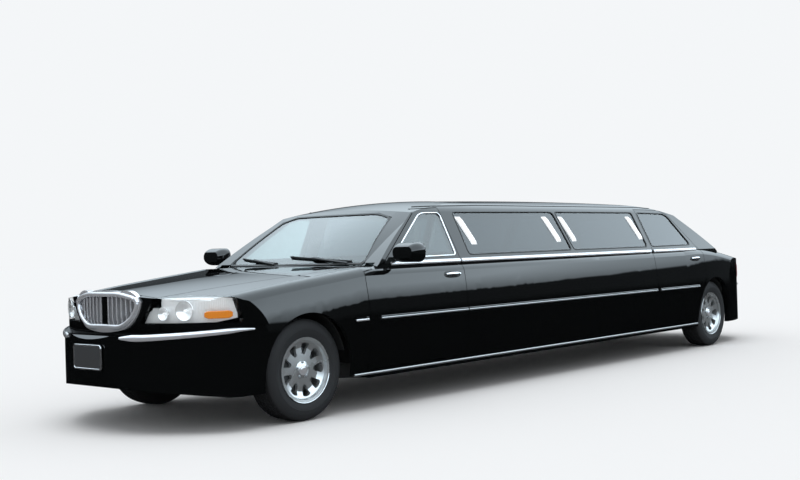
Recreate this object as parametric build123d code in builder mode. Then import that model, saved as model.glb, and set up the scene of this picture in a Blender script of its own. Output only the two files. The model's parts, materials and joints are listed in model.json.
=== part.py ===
"""A stretch limousine, modelled as its body-on-frame assembly.

Frame of the model, in millimetres: the origin is on the ground under the middle of the car, +X runs
towards the tail, +Y towards the car's right side and +Z up.  Lengthwise places are given as stations,
which are distances behind the front axle; x_at() turns a station into X.  Outlines are given for the
left half or the left side (-Y) and mirrored.

The body is cut from two closed envelopes: the lower body, which runs from the nose to the tail below
the belt, and the greenhouse above it.  Each is built at any inset, so that a panel is the skin
between two insets, trimmed by the outline of that panel.
"""

import os

from build123d import *

os.makedirs("parts", exist_ok=True)

# ---------------------------------------------------------------- driving dimensions
WHEELBASE = 6040
FRONT_OVERHANG = 1115
REAR_OVERHANG = 1330
HALF_WIDTH = 985  # body side at its widest, without mirrors
ROOF_HEIGHT = 1570
BELT = 1045  # shoulder line under the side windows
SILL = 235  # underside of the body side
TYRE_RADIUS = 351
TRACK_HALF = 805  # tyre centre plane from the car's centre plane

LENGTH = FRONT_OVERHANG + WHEELBASE + REAR_OVERHANG
FRONT_AXLE = FRONT_OVERHANG - LENGTH / 2
REAR_AXLE = FRONT_AXLE + WHEELBASE

GAP = 5.5  # shut line round the doors and the boot lid
HOOD_GAP = 7  # shut line round the hood
SKIN = 30  # thickness of the hood, wings and boot lid
WALL = 110  # thickness of the doors and body sides below the belt
PILLAR = 45  # thickness of the roof, pillars and window frames
BUMPER_WALL = 60
CAVITY = HALF_WIDTH - WALL  # half width between the body sides
GLASS_DEPTH = 6  # glass lies this far under the skin
GLASS = 6  # thickness of the glass

ARCH_RADIUS = 392
HOUSE_OUTER = 918  # the wheelhouses end here, behind the skin
WHEELHOUSE = 8  # sheet thickness of the wheelhouses
FAR = 4000  # longer than anything a cutter has to clear


def x_at(station):
    """X of a station, given as the distance behind the front axle."""
    return FRONT_AXLE + station


# ---------------------------------------------------------------- lower body envelope
# station, half width, shoulder height, crown height on the centre plane
NOSE_SECTIONS = (
    (-1140, 930, 785, 880),
    (-620, 952, 882, 945),
    (0, 975, 962, 1002),
    (570, 985, 1024, 1046),
)
TAIL_SECTIONS = (
    (5400, 985, 1045, 1078),
    (6040, 980, 1030, 1074),
    (6700, 945, 940, 1030),
    (7450, 880, 850, 965),
)
FULLEST = 610  # height at which the body side is widest
SIDE_TUCK = 45  # the side is this much narrower at the sill
SIDE_LEAN = 30  # and this much narrower under the shoulder
SHOULDER_DROP = 55
SHOULDER_RUN = 105

# plan outline of the nose and tail, left half: station, distance from the centre plane
NOSE_PLAN = ((-1115, 0), (-1055, 330), (-850, 670), (-530, 930), (-250, 985), (-200, 1100))
TAIL_PLAN = ((6300, 1100), (6400, 958), (6765, 865), (7045, 730), (7300, 475), (7370, 0))
# the same above the front bumper, where the nose stands back
LEDGE_PLAN = ((-965, 0), (-940, 360), (-815, 690), (-545, 915), (-250, 985), (-200, 1100))
BUMPER_TOP = ((-1300, 645), (-1000, 645), (-560, 688), (-200, 688))

# side view of the ends: station, height
NOSE_PROFILE = (
    (-980, 285),
    (-1085, 340),
    (-1115, 430),
    (-1115, 622),
    (-1090, 645),
    (-965, 650),
    (-965, 850),
    (-938, 900),
    (-860, 942),
    (-700, 1100),
)
TAIL_PROFILE = ((7150, 1100), (7290, 985), (7345, 850), (7370, 640), (7370, 400), (7280, 285))


def body_section(station, half_width, shoulder, crown, inset, floor):
    """Cross section of the lower body on the plane of a station, shrunk by inset on the sides and top."""
    w, top, mid = half_width - inset, shoulder - inset, crown - inset
    with BuildSketch(Plane.YZ.offset(x_at(station))) as section:
        with BuildLine():
            sill = (-(w - SIDE_TUCK), floor)
            under = (-(w - SIDE_LEAN), top - SHOULDER_DROP)
            over = (-(w - SIDE_LEAN - SHOULDER_RUN), top + 4)
            corner = (-(w - SIDE_LEAN - 26), top - 14)
            Line((0, floor), sill)
            ThreePointArc(sill, (-w, FULLEST), under)
            ThreePointArc(under, corner, over)
            ThreePointArc(over, (-w * 0.45, mid - (mid - top - 4) * 0.27), (0, mid))
            mirror(about=Plane.YZ)
        make_face()
    return section.sketch


def nose_ledge(inset):
    """All that lies below the top of the front bumper, or behind the face of the nose above it."""
    n = [(x_at(s) + inset, -max(y - inset, 0)) for s, y in LEDGE_PLAN]
    with BuildPart() as ledge:
        with BuildSketch(Plane.XY):
            with BuildLine():
                ThreePointArc((n[1][0], -n[1][1]), n[0], n[1])
                ThreePointArc(n[1], n[2], n[3])
                Polyline(n[3], n[4], n[5], (x_at(FAR * 2), n[5][1]), (x_at(FAR * 2), -n[5][1]), (n[5][0], -n[5][1]),
                         (n[4][0], -n[4][1]), (n[3][0], -n[3][1]))
                ThreePointArc((n[3][0], -n[3][1]), (n[2][0], -n[2][1]), (n[1][0], -n[1][1]))
            make_face()
        extrude(amount=FAR)
        with BuildSketch(Plane.XZ):
            with BuildLine():
                top = [(x_at(s), z - inset) for s, z in BUMPER_TOP]
                Polyline(*top, (x_at(FAR * 2), top[-1][1]), (x_at(FAR * 2), -FAR), (top[0][0], -FAR), close=True)
            make_face()
        extrude(amount=FAR, both=True)
    return ledge.part


def lower_envelope(inset=0.0, floor=SILL):
    """The closed lower body at an inset; a floor lower than the sill opens it downwards."""
    with BuildPart() as shell:
        for station, half_width, shoulder, crown in NOSE_SECTIONS:
            add(body_section(station, half_width, shoulder, crown, inset, floor))
        loft()
    nose = shell.part
    with BuildPart() as shell:
        for station, half_width, shoulder, crown in TAIL_SECTIONS:
            add(body_section(station, half_width, shoulder, crown, inset, floor))
        loft()
    tail = shell.part
    with BuildPart() as shell:
        add(body_section(*NOSE_SECTIONS[-1], inset, floor))
        add(body_section(*TAIL_SECTIONS[0], inset, floor))
        loft(ruled=True)
        add(nose)
        add(tail)
        # rounded in plan
        with BuildSketch(Plane.XY):
            with BuildLine():
                n = [(x_at(s) + inset * (s < 0), -max(y - inset, 0)) for s, y in NOSE_PLAN]
                t = [(x_at(s) - inset * (s > 0), -max(y - inset, 0)) for s, y in TAIL_PLAN]
                ThreePointArc((n[1][0], -n[1][1]), n[0], n[1])
                ThreePointArc(n[1], n[2], n[3])
                Polyline(n[3], n[4], n[5], t[0], t[1], t[2])
                ThreePointArc(t[2], t[3], t[4])
                ThreePointArc(t[4], t[5], (t[4][0], -t[4][1]))
                ThreePointArc((t[2][0], -t[2][1]), (t[3][0], -t[3][1]), (t[4][0], -t[4][1]))
                Polyline(*[(x, -y) for x, y in (t[2], t[1], t[0], n[5], n[4], n[3])])
                ThreePointArc((n[1][0], -n[1][1]), (n[2][0], -n[2][1]), (n[3][0], -n[3][1]))
            make_face()
        extrude(amount=FAR, both=True, mode=Mode.INTERSECT)
        add(nose_ledge(inset), mode=Mode.INTERSECT)
        # rounded in side view
        with BuildSketch(Plane.XZ):
            with BuildLine():
                low = floor - 10 if floor < SILL else floor
                nose_line = [(x_at(s) + inset, z) for s, z in NOSE_PROFILE]
                tail_line = [(x_at(s) - inset, z) for s, z in TAIL_PROFILE]
                ends = [(x_at(-600), low - 5), *nose_line, (x_at(-500), FAR), (x_at(7000), FAR), *tail_line]
                Polyline(*ends, (x_at(7000), low - 5), close=True)
            make_face()
        extrude(amount=FAR, both=True, mode=Mode.INTERSECT)
    return shell.part


# ---------------------------------------------------------------- greenhouse envelope
# side outlines of the greenhouse: half span, windscreen foot and head, roof start and end, backlight
# head and foot, as (station, height)
CENTRE_LINE = ((560, 1030), (1258, 1476), (2200, ROOF_HEIGHT - 11), (4900, ROOF_HEIGHT - 14), (5640, 1464), (6330, 1040))
SIDE_LINE = ((720, 1030), (1342, 1434), (2200, 1500), (4900, 1496), (5560, 1410), (6190, 1020))
SIDE_SPAN = 770
ROOF_ARCH = 12  # how far the roof rises over its chord
FRONT_BULGE = 24  # and its two ends over theirs
REAR_BULGE = 12
SCREEN_BULGE = 10
# lean of the side windows: distance from the centre plane, height
LEAN = ((930, 1000), (925, 1050), (735, 1440), (590, 1515), (250, 1690))


def greenhouse_outline(points, span, inset):
    """Side outline of the greenhouse on the plane at span, shrunk by inset."""
    foot, head, start, end, tail_head, tail_foot = points
    drop = 60 if inset else 0  # an inset one starts lower, so that the two feet don't share a face

    def shrunk(point, along):
        return (x_at(point[0] + along * inset * 1.75), point[1] - inset)

    with BuildSketch(Plane.XZ.offset(-span)) as outline:
        with BuildLine():
            a, b = shrunk(foot, 0.6), shrunk(head, 0.2)
            c, d = shrunk(start, 0), shrunk(end, 0)
            e, f = shrunk(tail_head, -0.2), shrunk(tail_foot, -0.6)
            mid = ((a[0] + b[0]) / 2 - SCREEN_BULGE, (a[1] + b[1]) / 2 + SCREEN_BULGE)
            ThreePointArc(a, mid, b)
            ThreePointArc(b, ((b[0] + c[0]) / 2, (b[1] + c[1]) / 2 + FRONT_BULGE), c)
            ThreePointArc(c, ((c[0] + d[0]) / 2, (c[1] + d[1]) / 2 + ROOF_ARCH), d)
            ThreePointArc(d, ((d[0] + e[0]) / 2, (d[1] + e[1]) / 2 + REAR_BULGE), e)
            mid = ((e[0] + f[0]) / 2 + SCREEN_BULGE, (e[1] + f[1]) / 2 + SCREEN_BULGE)
            ThreePointArc(e, mid, f)
            Polyline(f, (f[0], 1000 - drop), (a[0], 1000 - drop), a)
        make_face()
    return outline.sketch


def greenhouse(inset=0.0):
    """The closed cabin above the belt at an inset."""
    with BuildPart() as cabin:
        for points, span in ((SIDE_LINE, -SIDE_SPAN), (CENTRE_LINE, 0), (SIDE_LINE, SIDE_SPAN)):
            add(greenhouse_outline(points, span, inset))
        loft()
        for side in (1, -1):
            with BuildSketch(Plane.XZ.offset(-side * SIDE_SPAN)):
                add(greenhouse_outline(SIDE_LINE, side * SIDE_SPAN, inset))
            extrude(amount=-side * 300)
        with BuildSketch(Plane.YZ):
            with BuildLine():
                low, belt, rail, roof, peak = [(-(y - inset), z) for y, z in LEAN]
                low = (low[0], low[1] - 100)
                foot = Line(low, belt)
                glass = Line(belt, rail)
                edge = TangentArc(rail, roof, tangent=glass % 1)
                top = Line(roof, (-200, FAR / 2))
                mirror(about=Plane.YZ)
                Line(low, (-low[0], low[1]))
                Line(top @ 1, (200, FAR / 2))
            make_face()
        extrude(amount=FAR * 2, both=True, mode=Mode.INTERSECT)
    return cabin.part


# ---------------------------------------------------------------- cutters
def side_prism(points, y_low, y_high):
    """A prism across the car whose outline is given in side view, as (station, height)."""
    with BuildPart() as prism:
        with BuildSketch(Plane.XZ.offset(-y_high)):
            with BuildLine():
                Polyline(*[(x_at(s), z) for s, z in points], close=True)
            make_face()
        extrude(amount=y_high - y_low)
    return prism.part


def front_prism(points, start, end):
    """A prism along the car between two stations, whose outline is given as (y, z)."""
    with BuildPart() as prism:
        with BuildSketch(Plane.YZ.offset(x_at(start))):
            with BuildLine():
                Polyline(*points, close=True)
            make_face()
        extrude(amount=end - start)
    return prism.part


def plan_prism(points, z_low, z_high):
    """An upright prism whose outline is given in plan, as (station, y)."""
    with BuildPart() as prism:
        with BuildSketch(Plane.XY.offset(z_low)):
            with BuildLine():
                Polyline(*[(x_at(s), y) for s, y in points], close=True)
            make_face()
        extrude(amount=z_high - z_low)
    return prism.part


def block(start, end, y_low, y_high, z_low, z_high):
    """A box between two stations."""
    with BuildPart() as box:
        with Locations((x_at((start + end) / 2), (y_low + y_high) / 2, (z_low + z_high) / 2)):
            Box(end - start, y_high - y_low, z_high - z_low)
    return box.part


def drum(station, y_low, y_high, z, radius):
    """A cylinder across the car."""
    with BuildPart() as cylinder:
        with BuildSketch(Plane.XZ.offset(-y_high)):
            with Locations((x_at(station), z)):
                Circle(radius)
        extrude(amount=y_high - y_low)
    return cylinder.part


# ---------------------------------------------------------------- doors: hinge, outline, swing
HINGE_Y = 957  # the hinge axis is just under the skin
NOSE_RADIUS = 32  # a door's leading edge is rounded about its hinge axis
# section of the space a door may fill: distance from the centre plane, height
DOOR_SPACE = ((1100, 0), (1100, 1730), (545, 1730), (622, 1476), (680, 1440), (868, 1050), (868, 0))
DOOR_INNER = CAVITY + 7  # inner face of the doors
FRONT_HINGE = 600
REAR_HINGE = 4790

# outlines in side view: station, height
FRONT_DOOR = (
    (FRONT_HINGE, 300),
    (1705, 300),
    (1705, 1474),
    (1490, 1464),
    (1400, 1442),
    (805, 1052),
    (690, 1015),
    (FRONT_HINGE, 1000),
)
REAR_DOOR = (
    (REAR_HINGE, 300),
    (5530, 300),
    (5600, 440),
    (5690, 610),
    (5805, 730),
    (5805, 1010),
    (5720, 1082),
    (5445, 1418),
    (5330, 1466),
    (REAR_HINGE, 1474),
)
FRONT_WINDOW = ((922, 1092), (1668, 1098), (1668, 1428), (1460, 1426), (1404, 1412))
REAR_WINDOW = ((4815, 1102), (5620, 1106), (5405, 1400), (5330, 1426), (4815, 1436))
FIXED_WINDOWS = (
    ((1850, 1098), (3345, 1102), (3292, 1428), (3255, 1440), (1850, 1436)),
    ((3395, 1102), (4715, 1102), (4700, 1438), (3338, 1440)),
)


def swing(hinge, outline, side, grow=0.0):
    """What the outline sweeps round the hinge axis: a door trimmed by it clears its opening by grow."""
    axis = Axis((x_at(hinge), side * HINGE_Y, 0), (0, 0, 1))
    rows = Plane(origin=axis.position, x_dir=(0, -1, 0), z_dir=(-1, 0, 0))
    with BuildPart() as sweep_volume:
        with BuildSketch(rows) as face:
            with BuildLine():
                Polyline(*[(s - hinge, z) for s, z in outline], close=True)
            make_face()
            if grow:
                offset(amount=grow, kind=Kind.INTERSECTION)
            with Locations((-FAR / 2, 700)):
                Rectangle(FAR, FAR, mode=Mode.SUBTRACT)
        revolve(axis=axis, revolution_arc=180)
        low = min(z for _, z in outline) - grow
        high = max(z for s, z in outline if s == hinge) + grow
        with BuildSketch(Plane.XY.offset(low)):
            with Locations((axis.position.X, axis.position.Y)):
                Circle(NOSE_RADIUS + grow)
        extrude(amount=high - low)
        if grow:
            add(block(hinge - grow, hinge + 1, *sorted((side * HINGE_Y, side * 600)), low, high))
        space = [(side * (y - 2 * grow), z) for y, z in DOOR_SPACE]
        add(front_prism(space, hinge - 100, hinge + 1600), mode=Mode.INTERSECT)
    return sweep_volume.part


# ---------------------------------------------------------------- body shells
outer = lower_envelope()
under_skin = lower_envelope(SKIN, 0)
cabin = greenhouse()
cabin_inside = greenhouse(PILLAR)

HOOD_EDGE = ((-930, 480), (640, 800))  # left shut line of the hood in plan
HOOD_REAR = ((640, 800), (505, 0))  # rear edge, an arc through its corners and its middle
HOOD_FRONT = -900
LID_FRONT = 6405
LID_HALF = 640
LID_BOTTOM = 668
COWL_FOOT = 1040  # lowest glass of the windscreen
SPLIT = 1446  # the roof panel sits on the pillars at this height
ROOF_EDGE = 612  # between these edges it also takes in its front and rear headers


def hood_edge(station):
    """Distance of the hood's side shut line from the centre plane."""
    (front, near), (back, far) = HOOD_EDGE
    return near + (far - near) * (station - front) / (back - front)


front_region = block(-1400, FRONT_HINGE - GAP, -1100, 1100, 0, 1400)
front_arch = drum(0, -1100, 1100, TYRE_RADIUS, ARCH_RADIUS)
rear_arch = drum(WHEELBASE, -1100, 1100, TYRE_RADIUS, ARCH_RADIUS)

door_swings = {}
door_openings = []
for side in (-1, 1):
    door_swings["front", side] = swing(FRONT_HINGE, FRONT_DOOR, side)
    door_swings["rear", side] = swing(REAR_HINGE, REAR_DOOR, side)
    door_openings.append(swing(FRONT_HINGE, FRONT_DOOR, side, GAP))
    door_openings.append(swing(REAR_HINGE, REAR_DOOR, side, GAP))


def hood_plan(grow=0.0):
    """The hood's shape in plan, as an upright prism; grow makes the opening round it."""
    reach = HOOD_FRONT - grow
    with BuildPart() as prism:
        with BuildSketch(Plane.XY.offset(500)):
            with BuildLine():
                corner = (x_at(HOOD_REAR[0][0] + grow), -HOOD_REAR[0][1] - grow)
                front = (x_at(reach), -hood_edge(reach) - grow)
                Line(front, corner)
                ThreePointArc(corner, (x_at(HOOD_REAR[1][0] + grow), 0), (corner[0], -corner[1]))
                Line((corner[0], -corner[1]), (front[0], -front[1]))
                Line((front[0], -front[1]), front)
            make_face()
        extrude(amount=900)
    return prism.part


# in plan: the cowl lies between these lines behind the hood, and behind the doors' hinge posts
POST_FRONT = 596
POST_BACK = 645
POST_INNER = 812
COWL_ZONE = (
    (300, -hood_edge(300)),
    (POST_FRONT - 1, -hood_edge(POST_FRONT)),
    (POST_FRONT - 1, hood_edge(POST_FRONT)),
    (300, hood_edge(300)),
)

# ---------------------------------------------------------------- lamps, grille opening, bumpers
# the grille's outline, left half: bottom, lower corner, side, upper corner, shoulder, top
GRILLE_SHIELD = ((0, 656), (-205, 676), (-318, 752), (-368, 856), (-338, 896), (-180, 926), (0, 938))
# headlamps: side view, and the slanting inner edge seen from the front
LAMP_SIDE = ((-558, 716), (-545, 742), (-584, 886), (-800, 897), (-1300, 878), (-1300, 728), (-800, 717))
LAMP_INNER = ((-1100, 600), (-262, 600), (-482, 900), (-1100, 900))
TAIL_LAMP_SIDE = ((7420, 668), (7150, 668), (7125, 855), (7420, 855))
REAR_BUMPER_TOP = ((7500, 655), (7200, 655), (6600, 660), (6300, 660))

lamp_cut = {}
for side in (-1, 1):
    with BuildPart() as cut:
        add(side_prism(LAMP_SIDE, -1100, 1100))
        add(front_prism([(-side * y, z) for y, z in LAMP_INNER], -1300, -300), mode=Mode.INTERSECT)
    lamp_cut[side] = cut.part



def shield(start, end, border=0.0):
    """A prism along the car with the outline of the grille, shrunk by border."""
    bottom, low, side, high, corner, shoulder, top = GRILLE_SHIELD
    with BuildPart() as prism:
        with BuildSketch(Plane.YZ.offset(x_at(start))):
            with BuildLine():
                ThreePointArc(low, bottom, (-low[0], low[1]))
                ThreePointArc(low, side, high)
                ThreePointArc(high, corner, shoulder)
                ThreePointArc(shoulder, top, (-shoulder[0], shoulder[1]))
                ThreePointArc((-shoulder[0], shoulder[1]), (-corner[0], corner[1]), (-high[0], high[1]))
                ThreePointArc((-high[0], high[1]), (-side[0], side[1]), (-low[0], low[1]))
            make_face()
            if border:
                offset(amount=-border)
        extrude(amount=end - start)
    return prism.part


grille_cut = shield(-1300, -850)
bumper_below = side_prism((*BUMPER_TOP, (-300, 0), (-1300, 0)), -1100, 1100)
rear_bumper_below = side_prism((*REAR_BUMPER_TOP, (6300, 0), (7500, 0)), -1100, 1100)
tail_lamp_zone = side_prism(TAIL_LAMP_SIDE, -1100, 1100)

# ---------------------------------------------------------------- hood
with BuildPart() as hood:
    add(outer)
    add(under_skin, mode=Mode.SUBTRACT)
    add(hood_plan(), mode=Mode.INTERSECT)
    add(block(-1400, 1500, -1100, 1100, 820, 1400), mode=Mode.INTERSECT)
hood.part.label = "hood"

# ---------------------------------------------------------------- front wings
with BuildPart() as front_fenders:
    add(outer)
    add(under_skin, mode=Mode.SUBTRACT)
    add(front_region, mode=Mode.INTERSECT)
    add(plan_prism(COWL_ZONE, 500, 1400), mode=Mode.SUBTRACT)
    add(hood_plan(HOOD_GAP), mode=Mode.SUBTRACT)
    add(block(-1400, HOOD_FRONT, -1100, 1100, 0, 1400), mode=Mode.SUBTRACT)
    add(block(-1400, 800, -440, 440, 0, 1400), mode=Mode.SUBTRACT)
    add(bumper_below, mode=Mode.SUBTRACT)
    add(lamp_cut[-1], mode=Mode.SUBTRACT)
    add(lamp_cut[1], mode=Mode.SUBTRACT)
    add(front_arch, mode=Mode.SUBTRACT)
    for opening in door_openings:
        add(opening, mode=Mode.SUBTRACT)
    add(cabin, mode=Mode.SUBTRACT)
front_fenders.part.label = "front_fenders"

# ---------------------------------------------------------------- nose panel between the headlamps
with BuildPart() as nose_panel:
    add(outer)
    add(under_skin, mode=Mode.SUBTRACT)
    add(block(-1400, HOOD_FRONT - HOOD_GAP, -1100, 1100, 0, 1400), mode=Mode.INTERSECT)
    add(bumper_below, mode=Mode.SUBTRACT)
    add(lamp_cut[-1], mode=Mode.SUBTRACT)
    add(lamp_cut[1], mode=Mode.SUBTRACT)
    add(grille_cut, mode=Mode.SUBTRACT)
nose_panel.part.label = "nose_panel"

# ---------------------------------------------------------------- bumpers
with BuildPart() as front_bumper:
    add(outer)
    add(lower_envelope(BUMPER_WALL, 0), mode=Mode.SUBTRACT)
    add(bumper_below, mode=Mode.INTERSECT)
    add(grille_cut, mode=Mode.SUBTRACT)
    add(front_arch, mode=Mode.SUBTRACT)
front_bumper.part.label = "front_bumper"

with BuildPart() as rear_bumper:
    add(outer)
    add(lower_envelope(BUMPER_WALL, 0), mode=Mode.SUBTRACT)
    add(rear_bumper_below, mode=Mode.INTERSECT)
    add(rear_arch, mode=Mode.SUBTRACT)
    with Locations((x_at(7420), 0, 470)):
        Box(140, 340, 190, mode=Mode.SUBTRACT)
    with Locations(Location((x_at(7340), 89, 520), (0, 90, 0)), Location((x_at(7340), -89, 520), (0, 90, 0))):
        Cylinder(3.5, 200, mode=Mode.SUBTRACT)
rear_bumper.part.label = "rear_bumper"

# ---------------------------------------------------------------- body sides, roof, deck and cowl
side_region = block(FRONT_HINGE - GAP, 7500, -1100, 0, 0, SPLIT)
rear_house = drum(WHEELBASE, -HOUSE_OUTER - 1, HOUSE_OUTER + 1, TYRE_RADIUS, ARCH_RADIUS + WHEELHOUSE + 1)
WINDSCREEN_FRONT = ((-780, COWL_FOOT), (-628, 1404), (-470, 1444), (470, 1444), (628, 1404), (780, COWL_FOOT))
BACKLIGHT_REAR = ((-740, 1045), (-605, 1350), (-500, 1415), (500, 1415), (605, 1350), (740, 1045))
windscreen_cut = front_prism(WINDSCREEN_FRONT, 300, 1700)
backlight_cut = front_prism(BACKLIGHT_REAR, 5300, 6600)
roof_middle = block(1150, 5750, -ROOF_EDGE, ROOF_EDGE, 1390, 1700)
low_screens = block(300, 7000, -700, 700, 0, 1090)


def side_panel():
    """The left side of the body behind the front door's hinges: sill, pillars, windows, quarter."""
    with BuildPart() as quarter:
        add(outer)
        add(under_skin, mode=Mode.SUBTRACT)
        add(block(6300, 7500, -1100, -LID_HALF - GAP, 0, 1400), mode=Mode.INTERSECT)
    with BuildPart() as wall:
        add(outer)
        add(block(FRONT_HINGE - GAP, 6300, -1100, -CAVITY, 0, 1400), mode=Mode.INTERSECT)
    with BuildPart() as post:
        add(outer)
        add(block(POST_FRONT, POST_BACK, -CAVITY, -POST_INNER, 0, 1400), mode=Mode.INTERSECT)
    with BuildPart() as panel:
        add(cabin)
        add(cabin_inside, mode=Mode.SUBTRACT)
        add(side_region, mode=Mode.INTERSECT)
        add(low_screens, mode=Mode.SUBTRACT)
        add(roof_middle, mode=Mode.SUBTRACT)
        add(block(300, 6300, -CAVITY, CAVITY, 0, 1060), mode=Mode.SUBTRACT)
        add(windscreen_cut, mode=Mode.SUBTRACT)
        add(backlight_cut, mode=Mode.SUBTRACT)
        add(wall.part)
        add(quarter.part)
        for window in FIXED_WINDOWS:
            add(side_prism(window, -1100, 1100), mode=Mode.SUBTRACT)
        add(rear_bumper_below, mode=Mode.SUBTRACT)
        add(tail_lamp_zone, mode=Mode.SUBTRACT)
        add(rear_arch, mode=Mode.SUBTRACT)
        add(rear_house, mode=Mode.SUBTRACT)
        for opening in door_openings:
            add(opening, mode=Mode.SUBTRACT)
        add(post.part)
    return panel.part


body_side_left = side_panel()
body_side_right = mirror(body_side_left, about=Plane.XZ)

with BuildPart() as roof:
    add(cabin)
    add(cabin_inside, mode=Mode.SUBTRACT)
    add(block(300, 7000, -1100, 1100, SPLIT, 1700) + roof_middle, mode=Mode.INTERSECT)
    add(windscreen_cut, mode=Mode.SUBTRACT)
    add(backlight_cut, mode=Mode.SUBTRACT)
    for opening in door_openings:
        add(opening, mode=Mode.SUBTRACT)
roof.part.label = "roof"

with BuildPart() as cowl_zone:
    add(plan_prism(COWL_ZONE, 900, 1200))
    add(block(POST_FRONT - 1, POST_BACK + 1, -POST_INNER + 1, POST_INNER - 1, 900, 1200))
    add(block(POST_BACK + 1, 950, -CAVITY + 1, CAVITY - 1, 900, 1200))

with BuildPart() as cowl_panel:
    add(outer)
    add(under_skin, mode=Mode.SUBTRACT)
    add(cowl_zone.part, mode=Mode.INTERSECT)
    add(hood_plan(HOOD_GAP + 1), mode=Mode.SUBTRACT)
    add(cabin, mode=Mode.SUBTRACT)
cowl_panel.part.label = "cowl_panel"

with BuildPart() as deck_zone:
    add(block(6130, LID_FRONT - GAP, -LID_HALF - GAP, LID_HALF + GAP, 900, 1200))
    add(block(6130, 6299, -CAVITY + 1, CAVITY - 1, 900, 1200))

with BuildPart() as rear_deck:
    add(outer)
    add(under_skin, mode=Mode.SUBTRACT)
    add(deck_zone.part, mode=Mode.INTERSECT)
    add(cabin, mode=Mode.SUBTRACT)
rear_deck.part.label = "rear_deck"

with BuildPart() as trunk_lid:
    add(outer)
    add(under_skin, mode=Mode.SUBTRACT)
    add(block(LID_FRONT, 7500, -LID_HALF, LID_HALF, LID_BOTTOM, 1200), mode=Mode.INTERSECT)
trunk_lid.part.label = "trunk_lid"

with BuildPart() as tail_lamps:
    add(outer)
    add(lower_envelope(70, 0), mode=Mode.SUBTRACT)
    add(tail_lamp_zone, mode=Mode.INTERSECT)
    add(block(6300, 7500, -LID_HALF - GAP, LID_HALF + GAP, 0, 1400), mode=Mode.SUBTRACT)
tail_lamps.part.label = "tail_lamps"

with BuildPart() as headlamps:
    add(outer)
    add(lower_envelope(70, 0), mode=Mode.SUBTRACT)
    add(lamp_cut[-1] + lamp_cut[1], mode=Mode.INTERSECT)
    add(hood_plan(HOOD_GAP), mode=Mode.SUBTRACT)
headlamps.part.label = "headlamps"

# ---------------------------------------------------------------- doors
def door_panel(which, window):
    """A left door: the thick panel below the belt and the frame round its window."""
    with BuildPart() as lower:
        add(outer)
        add(block(300, 7000, -1100, -DOOR_INNER, 0, 1200), mode=Mode.INTERSECT)
        add(door_swings[which, -1], mode=Mode.INTERSECT)
    with BuildPart() as door:
        add(cabin)
        add(cabin_inside, mode=Mode.SUBTRACT)
        add(door_swings[which, -1], mode=Mode.INTERSECT)
        add(block(300, 7000, -DOOR_INNER, 0, 0, 1060), mode=Mode.SUBTRACT)
        add(lower.part)
        add(side_prism(window, -1100, 1100), mode=Mode.SUBTRACT)
    return door.part


glass_outside = greenhouse(GLASS_DEPTH)
glass_inside = greenhouse(GLASS_DEPTH + GLASS)


def pane(cut):
    """Glass that fills an opening of the greenhouse."""
    with BuildPart() as glass:
        add(glass_outside)
        add(glass_inside, mode=Mode.SUBTRACT)
        add(cut, mode=Mode.INTERSECT)
    return glass.part


# ---------------------------------------------------------------- grille
# The grille: a broad surround with a curved face, upright bars and a wide bar in the middle.
GRILLE_BACK = -925
GRILLE_FACE = ((-950, -368), (-988, 0), (-950, 368))  # its face in plan: station, y
GRILLE_BORDER = 34
BAR_SINK = 14  # the bars stand this far behind the face
BAR_PITCH = 45
BAR_WIDTH = 13
CENTRE_BAR = 76


def behind_face(sink):
    """An upright prism of all that lies more than sink behind the face of the grille."""
    left, middle, right = [(x_at(s) + sink, y) for s, y in GRILLE_FACE]
    with BuildPart() as prism:
        with BuildSketch(Plane.XY.offset(600)):
            with BuildLine():
                ThreePointArc(left, middle, right)
                Polyline(right, (right[0], 500), (right[0] + 400, 500), (right[0] + 400, -500), (left[0], -500), left)
            make_face()
        extrude(amount=400)
    return prism.part


with BuildPart() as grille_bars:
    for i in range(-8, 9):
        y, width = i * BAR_PITCH, BAR_WIDTH if i else CENTRE_BAR
        add(block(-1000, GRILLE_BACK, y - width / 2, y + width / 2, 600, 1000))
    add(shield(-1000, GRILLE_BACK, 10), mode=Mode.INTERSECT)
    add(behind_face(BAR_SINK), mode=Mode.INTERSECT)

with BuildPart() as grille:
    add(shield(-1000, GRILLE_BACK, 1))
    add(shield(-1000, GRILLE_BACK, GRILLE_BORDER), mode=Mode.SUBTRACT)
    add(behind_face(0), mode=Mode.INTERSECT)
    add(grille_bars.part)
grille.part.label = "grille"

# ---------------------------------------------------------------- chassis frame
RAIL_WIDTH = 80
RAIL_HEIGHT = 110
# station, centre distance from the centre plane, centre height
RAIL_SECTIONS = (
    (-878, 420, 370),
    (380, 420, 370),
    (545, 560, 272),
    (760, 690, 262),
    (5250, 690, 262),
    (5520, 480, 465),
    (7150, 480, 465),
)
# station, lower height, upper height, half length, width along the car
CROSSMEMBERS = (
    (-843, 330, 410, 430, 70),
    (820, 207, 255, 700, 90),
    (1900, 207, 255, 700, 80),
    (2980, 207, 255, 700, 80),
    (4060, 207, 255, 700, 80),
    (5140, 207, 255, 700, 90),
    (6640, 480, 518, 490, 80),
    (7110, 420, 510, 490, 80),
)
with BuildPart() as chassis_frame:
    for station, y, z in RAIL_SECTIONS:
        with BuildSketch(Plane.YZ.offset(x_at(station))):
            with Locations((-y, z)):
                Rectangle(RAIL_WIDTH, RAIL_HEIGHT)
    loft(ruled=True)
    mirror(about=Plane.XZ)
    for station, low, high, half, width in CROSSMEMBERS:
        add(block(station - width / 2, station + width / 2, -half, half, low, high))
chassis_frame.part.label = "chassis_frame"

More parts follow.
